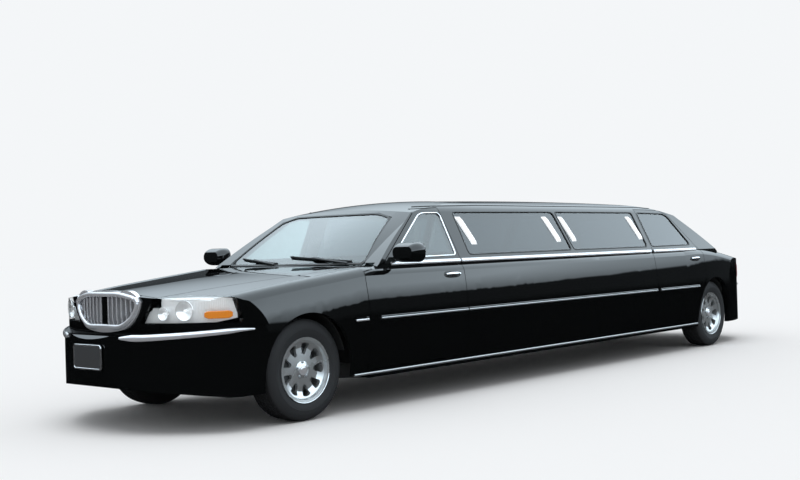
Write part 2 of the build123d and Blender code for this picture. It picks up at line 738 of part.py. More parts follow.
# ---------------------------------------------------------------- underbody
FLOOR = 335
FLOOR_THICK = 15
TUNNEL_HALF = 110
TUNNEL_TOP = 460
GEARBOX_TUNNEL_HALF = 190
GEARBOX_TUNNEL_TOP = 560
BOOT_FLOOR = 560
BULKHEAD = 5990
PARCEL_SHELF = 930
with BuildPart() as underbody:
    # floor, kicked up over the rear axle
    add(side_prism(((560, FLOOR), (5250, FLOOR), (5420, BOOT_FLOOR), (7270, BOOT_FLOOR),
                    (7270, BOOT_FLOOR + FLOOR_THICK), (5412, BOOT_FLOOR + FLOOR_THICK),
                    (5242, FLOOR + FLOOR_THICK), (560, FLOOR + FLOOR_THICK)), -CAVITY, CAVITY))
    # firewall and tunnels
    add(block(560, 580, -CAVITY, CAVITY, FLOOR, 990))
    add(block(560, 5400, -TUNNEL_HALF - 15, TUNNEL_HALF + 15, FLOOR, TUNNEL_TOP + 15))
    add(block(560, 1290, -GEARBOX_TUNNEL_HALF - 15, GEARBOX_TUNNEL_HALF + 15, FLOOR, GEARBOX_TUNNEL_TOP + 15))
    add(block(500, 5500, -TUNNEL_HALF, TUNNEL_HALF, 0, TUNNEL_TOP), mode=Mode.SUBTRACT)
    add(block(500, 1275, -GEARBOX_TUNNEL_HALF, GEARBOX_TUNNEL_HALF, 0, GEARBOX_TUNNEL_TOP), mode=Mode.SUBTRACT)
    # bulkhead behind the rear seat, parcel shelf, back panel
    add(block(BULKHEAD, BULKHEAD + 15, -CAVITY, CAVITY, BOOT_FLOOR, PARCEL_SHELF))
    add(block(BULKHEAD, 6380, -LID_HALF, LID_HALF, PARCEL_SHELF - 15, PARCEL_SHELF))
    add(block(7240, 7270, -LID_HALF + 10, LID_HALF - 10, 420, 655))
    # rear wheelhouses
    for side in (-1, 1):
        low, high = sorted((side * 600, side * HOUSE_OUTER))
        add(drum(WHEELBASE, low, high, TYRE_RADIUS, ARCH_RADIUS + WHEELHOUSE))
    for side in (-1, 1):
        low, high = sorted((side * (600 + WHEELHOUSE), side * HALF_WIDTH))
        add(drum(WHEELBASE, low, high, TYRE_RADIUS, ARCH_RADIUS), mode=Mode.SUBTRACT)
        low, high = sorted((side * 560, side * HALF_WIDTH))
        add(block(5500, 6600, low, high, -100, BOOT_FLOOR - 130), mode=Mode.SUBTRACT)
        low, high = sorted((side * (POST_INNER - 1), side * HALF_WIDTH))
        add(block(POST_FRONT - 1, POST_BACK + 1, low, high, 0, 1200), mode=Mode.SUBTRACT)
    add(lower_envelope(BUMPER_WALL + 6, 0), mode=Mode.INTERSECT)
underbody.part.label = "underbody"

# front wheelhouses, open inboard for the suspension and the steered wheel
with BuildPart() as front_wheelhouses:
    for side in (-1, 1):
        low, high = sorted((side * 505, side * 880))
        add(drum(0, low, high, TYRE_RADIUS, 420))
    for side in (-1, 1):
        low, high = sorted((side * (505 + WHEELHOUSE), side * 930))
        add(drum(0, low, high, TYRE_RADIUS, 412), mode=Mode.SUBTRACT)
    add(block(-500, 500, -600, 600, 0, 560), mode=Mode.SUBTRACT)
    add(block(-500, 500, -1000, 1000, -100, 450), mode=Mode.SUBTRACT)
front_wheelhouses.part.label = "front_wheelhouses"

# ---------------------------------------------------------------- heavy masses and running gear
with BuildPart() as engine:
    add(block(-180, 480, -285, 285, 430, 850))
    add(block(-120, 470, -150, 150, 290, 430))
    add(block(480, 1250, -150, 150, 290, 500))
engine.part.label = "engine"

with BuildPart() as radiator:
    add(block(-850, -800, -400, 400, 430, 862))
radiator.part.label = "radiator"

PIPE_Y = 370
PIPE_RADIUS = 28
with BuildPart() as exhaust:
    for side in (-1, 1):
        with BuildLine() as path:
            FilletPolyline(
                (x_at(560), side * 250, 292),
                (x_at(900), side * 250, 292),
                (x_at(1300), side * PIPE_Y, 292),
                (x_at(5450), side * PIPE_Y, 292),
                (x_at(5800), side * PIPE_Y, 460),
                (x_at(6250), side * PIPE_Y, 460),
                (x_at(6500), side * PIPE_Y, 340),
                (x_at(7215), side * PIPE_Y, 340),
                radius=120,
            )
        with BuildSketch(Plane(origin=path.line @ 0, z_dir=path.line % 0)):
            Circle(PIPE_RADIUS)
        sweep()
        with Locations(Location((x_at(6820), side * PIPE_Y, 335), (0, 90, 0))):
            Cylinder(66, 380)
exhaust.part.label = "exhaust"

with BuildPart() as fuel_tank:
    add(block(6480, 6960, -265, 265, 290, 470))
    fillet(fuel_tank.edges().filter_by(Axis.X), 40)
fuel_tank.part.label = "fuel_tank"

with BuildPart() as prop_shaft:
    with Locations(Location((x_at((1250 + 5880) / 2), 0, 365), (0, 90, 0))):
        Cylinder(38, 5880 - 1250)
    for station in (1900, 2980, 4060):
        with Locations(Location((x_at(station), 0, 365), (0, 90, 0))):
            Cylinder(52, 60)
        add(block(station - 25, station + 25, -70, 70, 255, 340))
prop_shaft.part.label = "prop_shaft"

SPINDLE_RADIUS = 22
RUNNING = 0.05  # radial clearance of the hubs and ball joints
HUB_IN = 752
HUB_OUT = 838
KINGPIN_Y = 735
with BuildPart() as rear_axle:
    with Locations(Location((x_at(WHEELBASE), 0, TYRE_RADIUS), (90, 0, 0))):
        Cylinder(38, 2 * 735)
        Cylinder(SPINDLE_RADIUS, 2 * 830)
    with Locations(Location((x_at(WHEELBASE), 0, TYRE_RADIUS), (0, 90, 0))):
        Cylinder(125, 320)
rear_axle.part.label = "rear_axle"

LOWER_ARM = 228
UPPER_ARM = 474
with BuildPart() as front_suspension:
    add(block(-110, 110, -380, 380, 205, 285))
    for side in (-1, 1):
        low, high = sorted((side * 380, side * 458))
        add(block(-70, 70, low, high, 205, 314))
        add(block(-90, 90, low, high, 426, 500))
        for height, root in ((LOWER_ARM, 300), (UPPER_ARM, 170)):
            with BuildSketch(Plane.XY.offset(height - 15)):
                with BuildLine():
                    Polyline(
                        (x_at(-root / 2), side * 430),
                        (x_at(root / 2), side * 430),
                        (x_at(24), side * KINGPIN_Y),
                        (x_at(-24), side * KINGPIN_Y),
                        close=True,
                    )
                make_face()
                with Locations((x_at(0), side * KINGPIN_Y)):
                    Circle(32)
                with Locations((x_at(0), side * KINGPIN_Y)):
                    Circle(16 + RUNNING, mode=Mode.SUBTRACT)
            extrude(amount=30)
front_suspension.part.label = "front_suspension"


def knuckle(side):
    """Steered hub carrier: kingpin ends, upright and the spindle the wheel turns on."""
    with BuildPart() as carrier:
        with Locations((x_at(0), side * KINGPIN_Y, (LOWER_ARM + UPPER_ARM) / 2)):
            Cylinder(16, UPPER_ARM - LOWER_ARM + 60)
        low, high = sorted((side * (KINGPIN_Y - 28), side * (KINGPIN_Y + 10)))
        add(block(-34, 34, low, high, LOWER_ARM + 22, UPPER_ARM - 22))
        add(drum(0, *sorted((side * KINGPIN_Y, side * 830)), TYRE_RADIUS, SPINDLE_RADIUS))
    return carrier.part


# ---------------------------------------------------------------- wheels and tyres
SPOKES = 9
DISC_FACE = 62
# half section of the tyre: distance from its centre plane, radius
TYRE_SECTION = ((92, 208), (93, 227), (112, 272), (109, 306), (88, 344), (0, TYRE_RADIUS))


def tyre(station, side):
    """A tyre, revolved from its section."""
    with BuildPart() as ring:
        with BuildSketch(Plane.YZ.offset(x_at(station))):
            with BuildLine():
                bead, lip, wall, shoulder, edge, crown = [
                    (TRACK_HALF + a, TYRE_RADIUS - r) for a, r in TYRE_SECTION
                ]
                flip = [(2 * TRACK_HALF - a, z) for a, z in (lip, wall, shoulder, edge)]
                Line(bead, lip)
                ThreePointArc(lip, wall, shoulder)
                ThreePointArc(shoulder, ((shoulder[0] + edge[0]) / 2 + 3, (shoulder[1] + edge[1]) / 2 - 3), edge)
                ThreePointArc(edge, crown, flip[3])
                ThreePointArc(flip[3], ((flip[2][0] + flip[3][0]) / 2 - 3, (flip[2][1] + flip[3][1]) / 2 - 3), flip[2])
                ThreePointArc(flip[2], flip[1], flip[0])
                Polyline(flip[0], (2 * TRACK_HALF - bead[0], bead[1]), bead)
            make_face()
        revolve(axis=Axis((x_at(station), 0, TYRE_RADIUS), (0, 1, 0)))
    return ring.part if side > 0 else mirror(ring.part, about=Plane.XZ)


# half section of the rim and its disc: distance from the wheel's centre plane (outwards), radius
RIM_SECTION = (
    (-104, 224),
    (-96, 224),
    (-94, 208),
    (94, 208),
    (96, 224),
    (104, 224),
    (101, 204),
    (DISC_FACE + 20, 196),
    (DISC_FACE, 150),
    (DISC_FACE + 6, 60),
    (DISC_FACE + 14, 38),
    (DISC_FACE + 14, 0),
    (DISC_FACE - 26, 0),
    (DISC_FACE - 26, 40),
    (DISC_FACE - 20, 150),
    (DISC_FACE - 14, 192),
    (-90, 196),
    (-104, 206),
)


# a dark pocket between two spokes, upper half: distance from the hub, half width
POCKET = ((112, 14), (176, 36), (187, 0))
POCKET_ROUND = 8


def wheel(station, side):
    """A nine-spoke cast wheel with its hub."""
    centre = TRACK_HALF
    with BuildSketch() as pocket:
        with BuildLine():
            ThreePointArc(POCKET[0], (POCKET[0][0] - 8, 0), (POCKET[0][0], -POCKET[0][1]))
            Line(POCKET[0], POCKET[1])
            ThreePointArc(POCKET[1], (POCKET[2][0], 0), (POCKET[1][0], -POCKET[1][1]))
            Line((POCKET[0][0], -POCKET[0][1]), (POCKET[1][0], -POCKET[1][1]))
        make_face()
        fillet(pocket.vertices(), POCKET_ROUND)
    with BuildPart() as cast:
        with BuildSketch(Plane.YZ.offset(x_at(station))):
            with BuildLine():
                Polyline(*[(centre + a, TYRE_RADIUS - r) for a, r in RIM_SECTION], close=True)
            make_face()
        revolve(axis=Axis((x_at(station), 0, TYRE_RADIUS), (0, 1, 0)))
        add(drum(station, HUB_IN, centre + DISC_FACE - 20, TYRE_RADIUS, 60))
        add(drum(station, 700, HUB_OUT, TYRE_RADIUS, SPINDLE_RADIUS + RUNNING), mode=Mode.SUBTRACT)
        hub_plane = Plane(origin=(x_at(station), centre + 150, TYRE_RADIUS), x_dir=(0, 0, 1), z_dir=(0, 1, 0))
        with BuildSketch(hub_plane):
            with PolarLocations(0, SPOKES, start_angle=10):
                add(pocket.sketch)
        extrude(amount=-140, mode=Mode.SUBTRACT)
    return cast.part if side > 0 else mirror(cast.part, about=Plane.XZ)


# ---------------------------------------------------------------- mirrors
MIRROR_Y = -1093
MIRROR_Z = 1128
# station, width, height, corner radius
MIRROR_SECTIONS = ((815, 186, 84, 38), (850, 236, 124, 52), (932, 252, 142, 58))


def door_mirror(side):
    """A door mirror: its housing and the foot it stands on at the front corner of the window."""
    with BuildPart() as housing:
        for station, width, height, corner in MIRROR_SECTIONS:
            with BuildSketch(Plane.YZ.offset(x_at(station))):
                with Locations((MIRROR_Y, MIRROR_Z)):
                    RectangleRounded(width, height, corner)
        loft()
        add(block(878, 930, -1010, -880, 1062, 1096))
        add(cabin, mode=Mode.SUBTRACT)
        add(outer, mode=Mode.SUBTRACT)
    return housing.part if side < 0 else mirror(housing.part, about=Plane.XZ)


# ---------------------------------------------------------------- interior
STEERING_TILT = 62
with BuildPart() as dashboard:
    add(side_prism(((655, 978), (1010, 972), (1040, 900), (980, 700), (700, 640), (655, 640)), -820, 820))
    with Locations(Location((x_at(1210), -380, 905), (0, STEERING_TILT, 0))):
        with Locations((0, 0, -130)):
            Cylinder(30, 170)
dashboard.part.label = "dashboard"

with BuildPart() as steering_wheel:
    with Locations(Location((x_at(1210), -380, 905), (0, STEERING_TILT, 0))):
        Torus(180, 14)
        Box(350, 40, 16)
        with Locations((0, 0, -20)):
            Cylinder(55, 44)
steering_wheel.part.label = "steering_wheel"

SEAT_SIDE = ((1400, 352), (1800, 352), (1850, 470), (1990, 1000), (1930, 1100), (1850, 1090), (1760, 700), (1320, 690))
with BuildPart() as front_seats:
    for side in (-1, 1):
        low, high = sorted((side * 130, side * 640))
        add(side_prism(SEAT_SIDE, low, high))
front_seats.part.label = "front_seats"

with BuildPart() as partition:
    add(block(2010, 2045, -CAVITY + 20, CAVITY - 20, 352, 1030))
    add(block(2000, 2050, -TUNNEL_HALF - 16, TUNNEL_HALF + 16, 300, TUNNEL_TOP + 16), mode=Mode.SUBTRACT)
partition.part.label = "partition"

REAR_BENCH = ((5010, 355), (5225, 355), (5395, 590), (5960, 590), (5960, 1010), (5760, 1010), (5640, 770), (5010, 760))
with BuildPart() as lounge_seats:
    add(block(2700, 5000, 420, CAVITY - 8, 352, 760))
    add(block(2700, 5000, 700, CAVITY - 8, 760, 1010))
    add(side_prism(REAR_BENCH, -590, 590))
    add(block(5000, 5450, -TUNNEL_HALF - 16, TUNNEL_HALF + 16, 300, TUNNEL_TOP + 16), mode=Mode.SUBTRACT)
lounge_seats.part.label = "lounge_seats"

with BuildPart() as bar_cabinet:
    add(block(2300, 4300, -CAVITY + 8, -520, 352, 980))
bar_cabinet.part.label = "bar_cabinet"

# ---------------------------------------------------------------- lamps on the pillars
# They lean forwards at the top, on the ends of the fixed windows.
OPERA_STATIONS = (1973, 3217, 3463, 4676)  # at their lower ends
OPERA_LOW = 1180
OPERA_HIGH = 1395
OPERA_LEAN = 78
OPERA_WIDTH = 56
opera_face = greenhouse(-7)
with BuildPart() as opera_lamps:
    for station in OPERA_STATIONS:
        front, rear = station - OPERA_WIDTH / 2, station + OPERA_WIDTH / 2
        corners = ((front, OPERA_LOW), (rear, OPERA_LOW), (rear - OPERA_LEAN, OPERA_HIGH), (front - OPERA_LEAN, OPERA_HIGH))
        add(side_prism(corners, -1100, 1100))
    add(opera_face, mode=Mode.INTERSECT)
    add(glass_outside, mode=Mode.SUBTRACT)
opera_lamps.part.label = "opera_lamps"


parts = {}
for which, window in (("front", FRONT_WINDOW), ("rear", REAR_WINDOW)):
    left = door_panel(which, window)
    parts[f"door_{which}_left"] = left
    parts[f"door_{which}_right"] = mirror(left, about=Plane.XZ)
    parts[f"door_glass_{which}_left"] = pane(side_prism(window, -1100, 0))
    parts[f"door_glass_{which}_right"] = pane(side_prism(window, 0, 1100))
parts["windscreen"] = pane(windscreen_cut)
parts["backlight"] = pane(backlight_cut)
fixed = [pane(side_prism(window, y, y + 1100)) for window in FIXED_WINDOWS for y in (-1100, 0)]
parts["side_windows"] = Part() + fixed

parts["body_side_left"] = body_side_left
parts["body_side_right"] = body_side_right
for made in (
    hood, front_fenders, nose_panel, front_bumper, rear_bumper, roof, cowl_panel, rear_deck, trunk_lid,
    tail_lamps, headlamps, grille, chassis_frame, underbody, front_wheelhouses, engine, radiator, exhaust,
    fuel_tank, prop_shaft, rear_axle, front_suspension, dashboard, steering_wheel, front_seats, partition,
    lounge_seats, bar_cabinet, opera_lamps,
):
    parts[made.part.label] = made.part
for hand, side in (("left", -1), ("right", 1)):
    parts[f"mirror_{hand}"] = door_mirror(side)
    parts[f"knuckle_{hand}"] = knuckle(side)
    for end, station in (("front", 0), ("rear", WHEELBASE)):
        parts[f"tyre_{end}_{hand}"] = tyre(station, side)
        parts[f"wheel_{end}_{hand}"] = wheel(station, side)
for name, made in parts.items():
    print(name, made.is_valid, len(made.solids()), [round(s.volume / 1e6, 3) for s in made.solids()][:6])
    export_step(made, f"parts/{name}.step")
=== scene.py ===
"""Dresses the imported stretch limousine: paint, glass, chrome, lamps, wheels, trim, seats and a pale studio.

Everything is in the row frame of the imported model, in metres: the origin is on the ground under the
middle of the car, +X runs towards the tail, +Y towards the car's right side, +Z up.  Lengthwise places
are stations, distances behind the front axle, and Car.x() turns a station into X.  Each sub-assembly is
a class that is given its measures as dataclass fields and has a method that makes or dresses it.
"""

import json
import logging
import math
from dataclasses import dataclass
from enum import Enum
from typing import Iterable, Sequence

import bmesh
import bpy
import numpy as np
from mathutils import Matrix, Vector
from mathutils.bvhtree import BVHTree

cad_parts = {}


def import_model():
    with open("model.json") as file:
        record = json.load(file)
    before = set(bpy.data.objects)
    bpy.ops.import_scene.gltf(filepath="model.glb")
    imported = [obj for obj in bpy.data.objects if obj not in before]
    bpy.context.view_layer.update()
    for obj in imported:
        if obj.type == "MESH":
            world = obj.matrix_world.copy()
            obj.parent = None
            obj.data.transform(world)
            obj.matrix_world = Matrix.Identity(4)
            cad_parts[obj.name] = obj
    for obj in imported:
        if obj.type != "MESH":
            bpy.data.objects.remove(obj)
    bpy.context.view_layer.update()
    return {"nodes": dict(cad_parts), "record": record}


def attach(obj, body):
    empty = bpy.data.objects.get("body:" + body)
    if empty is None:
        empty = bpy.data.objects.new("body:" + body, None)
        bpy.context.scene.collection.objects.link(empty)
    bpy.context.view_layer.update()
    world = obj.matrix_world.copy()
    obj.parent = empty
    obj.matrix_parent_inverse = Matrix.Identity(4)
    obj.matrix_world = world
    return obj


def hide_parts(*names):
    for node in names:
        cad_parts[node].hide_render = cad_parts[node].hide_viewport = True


logging.basicConfig(level=logging.INFO, format="%(name)s: %(message)s")
LOG = logging.getLogger("limousine")

Vec2 = tuple[float, float]
Vec3 = tuple[float, float, float]
Outline = Sequence[Vec2]
Laid = tuple[np.ndarray, np.ndarray]  # points on a surface, and the outward direction at each
Nodes = dict[str, bpy.types.Object]
Feeds = dict[str | int, float | Sequence[float] | bpy.types.NodeSocket]

ALONG: Vec3 = (1.0, 0.0, 0.0)
ACROSS: Vec3 = (0.0, 1.0, 0.0)
UP: Vec3 = (0.0, 0.0, 1.0)


class Side(Enum):
    """Side of the car, as the sign of its Y."""

    LEFT = -1
    RIGHT = 1

    @property
    def word(self) -> str:
        """The side as it stands in the names of nodes and bodies."""
        return self.name.lower()


class Axle(Enum):
    """Front or rear axle, by its station."""

    FRONT = 0.0
    REAR = 6.040

    @property
    def word(self) -> str:
        """The axle as it stands in the names of nodes and bodies."""
        return self.name.lower()


@dataclass(frozen=True)
class Car:
    """Driving dimensions of the car, as in the CAD model.

    Args:
        front_axle: X of the front axle.
        tyre_radius: radius of a tyre, and height of the axles.
        track_half: distance of a wheel's centre plane from the car's.
        nose: station of the place on the centre plane that turns round the nose are measured at.
        tail: the same of turns round the tail.
    """

    front_axle: float = -3.1275
    tyre_radius: float = 0.351
    track_half: float = 0.805
    nose: float = -0.2
    tail: float = 6.35

    def x(self, station: float) -> float:
        """X of a station, a distance behind the front axle."""
        return self.front_axle + station


CAR = Car()


# ---------------------------------------------------------------- materials
class Graph:
    """The node tree of a material or a world, built by short calls."""

    def __init__(self, owner: bpy.types.Material | bpy.types.World) -> None:
        """Turns the owner's nodes on and takes its tree."""
        owner.use_nodes = True
        self.tree = owner.node_tree

    def feed(self, node: bpy.types.Node, feeds: Feeds) -> None:
        """Sets inputs of a node.

        Args:
            node: the node.
            feeds: for each input, its value or the output that leads to it.
        """
        for place, value in feeds.items():
            if isinstance(value, bpy.types.NodeSocket):
                self.tree.links.new(value, node.inputs[place])
            else:
                node.inputs[place].default_value = value

    def add(self, kind: str, feeds: Feeds, out: str | int = 0, **settings: str | bool) -> bpy.types.NodeSocket:
        """Adds a node.

        Args:
            kind: its type, without the word ShaderNode.
            feeds: its inputs, as in feed.
            out: name or number of the output that is wanted.
            settings: its own properties.

        Returns:
            That output.
        """
        node = self.tree.nodes.new(f"ShaderNode{kind}")
        for name, value in settings.items():
            setattr(node, name, value)
        self.feed(node, feeds)
        return node.outputs[out]


@dataclass(frozen=True)
class Finish:
    """A surface finish.

    Args:
        name: name of its material.
        colour: base colour, linear.
        roughness: roughness of the base.
        metallic: 1 for bare metal.
        specular: strength of the base's own reflection.
        coat: strength of a clear coat.
        clear: tint of each face of a clear sheet, or None if it is opaque.
        glow: strength of its own light.
        ior: index of refraction.
        grain: (scale, bump distance in metres) of a fine noise bump, or None.
        mottle: how far a soft noise varies the roughness.
        flutes: (waves per metre along Y, bump distance in metres) of lens flutes, or None.
    """

    name: str
    colour: Vec3
    roughness: float = 0.4
    metallic: float = 0.0
    specular: float = 0.5
    coat: float = 0.0
    clear: Vec3 | None = None
    glow: float = 0.0
    ior: float = 1.45
    grain: Vec2 | None = None
    mottle: float = 0.0
    flutes: Vec2 | None = None

    def material(self) -> bpy.types.Material:
        """The finish's material, made on first use.

        Returns:
            The material.
        """
        label = f"{self.name}_finish"
        found = bpy.data.materials.get(label)
        if found:
            return found
        made = bpy.data.materials.new(label)
        graph = Graph(made)
        shader = graph.tree.nodes["Principled BSDF"]
        graph.feed(shader, {
            "Base Color": (*self.colour, 1.0), "Metallic": self.metallic, "Roughness": self.roughness,
            "Specular IOR Level": self.specular, "IOR": self.ior,
            "Coat Weight": self.coat, "Coat Roughness": 0.015,
            "Emission Color": (*self.colour, 1.0), "Emission Strength": self.glow,
        })  # fmt: skip
        place = graph.add("TexCoord", {}, "Object")
        scale, depth = self.grain or self.flutes or (0.0, 0.0)
        feeds = {"Vector": place, "Scale": scale}
        if self.grain:
            relief = graph.add("TexNoise", feeds | {"Detail": 4.0}, "Fac")
        elif self.flutes:
            relief = graph.add("TexWave", feeds, "Fac", bands_direction="Y")
        if depth:
            graph.feed(shader, {"Normal": graph.add("Bump", {"Height": relief, "Distance": depth})})
        if self.mottle:
            cloud = graph.add("TexNoise", {"Vector": place, "Scale": 3.0, "Detail": 3.0}, "Fac")
            low, high = max(self.roughness - self.mottle, 0.0), self.roughness + self.mottle
            spread = graph.add("MapRange", {"Value": cloud, "To Min": low, "To Max": high})
            graph.feed(shader, {"Roughness": spread})
        if self.clear:
            self._sheet(graph, shader.outputs["BSDF"])
        return made

    def _sheet(self, graph: Graph, mirror: bpy.types.NodeSocket, share: float = 1.15) -> None:
        """Lets light straight through, as a thin tinted sheet, and keeps the shader for its reflection.

        The reflected part is share times Fresnel's at the face turned to the ray, as of a pane's two
        faces, and nothing at the face behind.

        Args:
            graph: the material's tree.
            mirror: its shader, a plain mirror.
            share: how much of Fresnel's reflection is kept.
        """
        through = graph.add("BsdfTransparent", {"Color": (*self.clear, 1.0)})
        fresnel = graph.add("Fresnel", {"IOR": self.ior})
        behind = graph.add("NewGeometry", {}, "Backfacing")
        fore = graph.add("Math", {0: 1.0, 1: behind}, operation="SUBTRACT")
        kept = graph.add("Math", {0: fore, 1: share}, operation="MULTIPLY")
        part = graph.add("Math", {0: kept, 1: fresnel}, operation="MULTIPLY", use_clamp=True)
        mix = graph.add("MixShader", {0: part, 1: through, 2: mirror})
        graph.feed(graph.tree.nodes["Material Output"], {"Surface": mix})


BLACK_PAINT = Finish("black_paint", (0.003, 0.0034, 0.0036), 0.3, specular=0.0, coat=1.0, mottle=0.05)
CHROME = Finish("chrome", (0.70, 0.71, 0.73), 0.08, metallic=0.9, mottle=0.02)
BRIGHT = Finish("bright_trim", (0.62, 0.63, 0.66), 0.18, metallic=0.5, coat=0.5, mottle=0.04)
SATIN = Finish("satin_metal", (0.34, 0.35, 0.36), 0.34, metallic=0.8, grain=(350.0, 0.0001), mottle=0.05)
TYRE = Finish("tyre", (0.014, 0.014, 0.015), 0.72, specular=0.35, grain=(260.0, 0.0005), mottle=0.08)
ALLOY = Finish(
    "machined_alloy", (0.50, 0.52, 0.53), 0.28, metallic=0.72, coat=0.4, grain=(400.0, 0.0001), mottle=0.05
)
DISC = Finish("brake_iron", (0.05, 0.05, 0.05), 0.5, metallic=0.6, grain=(120.0, 0.0003), mottle=0.08)
CLEAR_GLASS = Finish(
    "clear_glass", (0.95, 0.97, 0.97), 0.01, metallic=1.0, clear=(0.66, 0.74, 0.745), ior=1.7, mottle=0.01
)
DARK_GLASS = Finish(
    "dark_glass", (0.95, 0.97, 0.98), 0.01, metallic=1.0, clear=(0.24, 0.28, 0.30), ior=1.55, mottle=0.01
)
LAMP_GLASS = Finish(
    "lamp_glass", (0.97, 0.98, 0.98), 0.01, metallic=1.0, clear=(0.97, 0.98, 0.98), ior=1.4, mottle=0.01
)
REFLECTOR = Finish(
    "lamp_reflector", (0.95, 0.96, 0.97), 0.25, metallic=0.15, flutes=(42.0, 0.0012), mottle=0.04
)
BOWL = Finish("lamp_bowl", (0.93, 0.94, 0.95), 0.20, metallic=0.40, mottle=0.02)
AMBER = Finish("amber_lens", (0.85, 0.27, 0.03), 0.15, coat=0.6, flutes=(60.0, 0.0008), mottle=0.04)
RED_LENS = Finish("red_lens", (0.30, 0.006, 0.008), 0.10, coat=0.8, flutes=(40.0, 0.0008), mottle=0.03)
OPAL_LENS = Finish("opal_lens", (0.90, 0.92, 0.93), 0.30, coat=0.4, glow=0.4, mottle=0.06)
STEEL = Finish("black_steel", (0.02, 0.02, 0.02), 0.55, grain=(90.0, 0.0004), mottle=0.1)
IRON = Finish("engine_iron", (0.16, 0.16, 0.16), 0.6, metallic=0.7, grain=(150.0, 0.0008), mottle=0.1)
RADIATOR = Finish("radiator", (0.02, 0.02, 0.02), 0.6, flutes=(90.0, 0.002), mottle=0.1)
EXHAUST = Finish("exhaust_steel", (0.22, 0.21, 0.20), 0.45, metallic=1.0, grain=(60.0, 0.0003), mottle=0.1)
UNDERSEAL = Finish("underseal", (0.012, 0.012, 0.012), 0.8, grain=(180.0, 0.0012), mottle=0.1)
PLASTIC = Finish("dark_plastic", (0.014, 0.014, 0.015), 0.5, grain=(500.0, 0.0002), mottle=0.08)
RUBBER = Finish("seal_rubber", (0.008, 0.008, 0.008), 0.5, grain=(600.0, 0.0001), mottle=0.08)
MESH = Finish("grille_mesh", (0.006, 0.006, 0.007), 0.5, flutes=(160.0, 0.003), mottle=0.1)
LEATHER = Finish("seat_leather", (0.045, 0.043, 0.042), 0.46, grain=(240.0, 0.0006), mottle=0.08)
WELT = Finish("seat_welt", (0.02, 0.02, 0.02), 0.5, grain=(700.0, 0.0002), mottle=0.06)
WOOD = Finish("cabinet_wood", (0.10, 0.045, 0.02), 0.25, coat=0.7, grain=(25.0, 0.0003), mottle=0.06)
PLATE = Finish("blank_plate", (0.045, 0.047, 0.05), 0.35, coat=0.3, grain=(500.0, 0.0001), mottle=0.05)
MIRROR_GLASS = Finish("mirror_glass", (0.80, 0.82, 0.84), 0.02, metallic=1.0, mottle=0.01)

SLOT_FINISH = {finish.name: finish for finish in (
    BLACK_PAINT, ALLOY, CLEAR_GLASS, DARK_GLASS, LAMP_GLASS, RED_LENS, OPAL_LENS, STEEL, IRON, EXHAUST,
    UNDERSEAL, PLASTIC, LEATHER, WOOD,
)}  # fmt: skip
SLOT_FINISH |= {"chrome_trim": BRIGHT, "tyre_rubber": TYRE, "radiator_alloy": RADIATOR}


# ---------------------------------------------------------------- surfaces
def stacked(*columns: np.ndarray | float) -> np.ndarray:
    """Columns of numbers side by side along a new last axis, each spread to the others' shape."""
    return np.stack(np.broadcast_arrays(*columns), -1)


def unit(rows: np.ndarray) -> np.ndarray:
    """Each row at length 1."""
    return rows / np.maximum(np.linalg.norm(rows, axis=-1, keepdims=True), 1e-12)


@dataclass(frozen=True)
class Shape:
    """A surface computed as numbers.

    Args:
        points: its points, one row each.
        faces: its faces, as indices of points.
    """

    points: np.ndarray
    faces: list[Sequence[int]]

    @classmethod
    def grid(cls, rows: np.ndarray, wrap_u: bool = False, wrap_v: bool = False) -> "Shape":
        """Quads over a table of points.

        Args:
            rows: points, shaped (u, v, 3).
            wrap_u: joins the last row to the first.
            wrap_v: joins the last column to the first.

        Returns:
            The shape.
        """
        m, n = rows.shape[:2]
        i = np.arange(m if wrap_u else m - 1)[:, None]
        j = np.arange(n if wrap_v else n - 1)[None, :]
        along, across = (i + 1) % m, (j + 1) % n
        quads = stacked(i * n + j, i * n + across, along * n + across, along * n + j)
        return cls(rows.reshape(-1, 3), quads.reshape(-1, 4).tolist())

    @classmethod
    def joined(cls, shapes: Iterable["Shape"]) -> "Shape":
        """Several shapes as one.

        Args:
            shapes: the shapes.

        Returns:
            A shape with all their points and faces.
        """
        points, faces, count = [], [], 0
        for shape in shapes:
            points.append(shape.points)
            faces.extend([[k + count for k in face] for face in shape.faces])
            count += len(shape.points)
        return cls(np.concatenate(points), faces)

    def placed(self, origin: Sequence[float], *axes: Sequence[float]) -> "Shape":
        """The shape with its own three axes laid along those given, at origin."""
        return Shape(np.asarray(origin) + self.points @ np.array(axes), self.faces)


def piece(
    name: str,
    shape: Shape,
    finish: Finish,
    body: str = "body",
    replaces: Sequence[str] = (),
    sharp: float = 40.0,
) -> bpy.types.Object:
    """Makes an object of a shape: seams and poles welded, faces outwards, edges over sharp degrees kept.

    Args:
        name: name of the piece.
        shape: its surface.
        finish: its finish.
        body: the body it moves with.
        replaces: CAD nodes that it stands for.
        sharp: angle in degrees above which an edge stays hard.

    Returns:
        The object.
    """
    mesh = bpy.data.meshes.new(name)
    mesh.from_pydata(shape.points.tolist(), [], shape.faces)
    work = bmesh.new()
    work.from_mesh(mesh)
    bmesh.ops.remove_doubles(work, verts=work.verts, dist=1e-5)
    bmesh.ops.recalc_face_normals(work, faces=work.faces)
    work.to_mesh(mesh)
    work.free()
    mesh.shade_smooth()
    mesh.set_sharp_from_angle(angle=math.radians(sharp))
    mesh.materials.append(finish.material())
    made = bpy.data.objects.new(name, mesh)
    bpy.context.scene.collection.objects.link(made)
    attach(made, body)
    if replaces:
        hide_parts(*replaces)
    LOG.info("piece %s, %d faces, on %s", name, len(mesh.polygons), body)
    return made


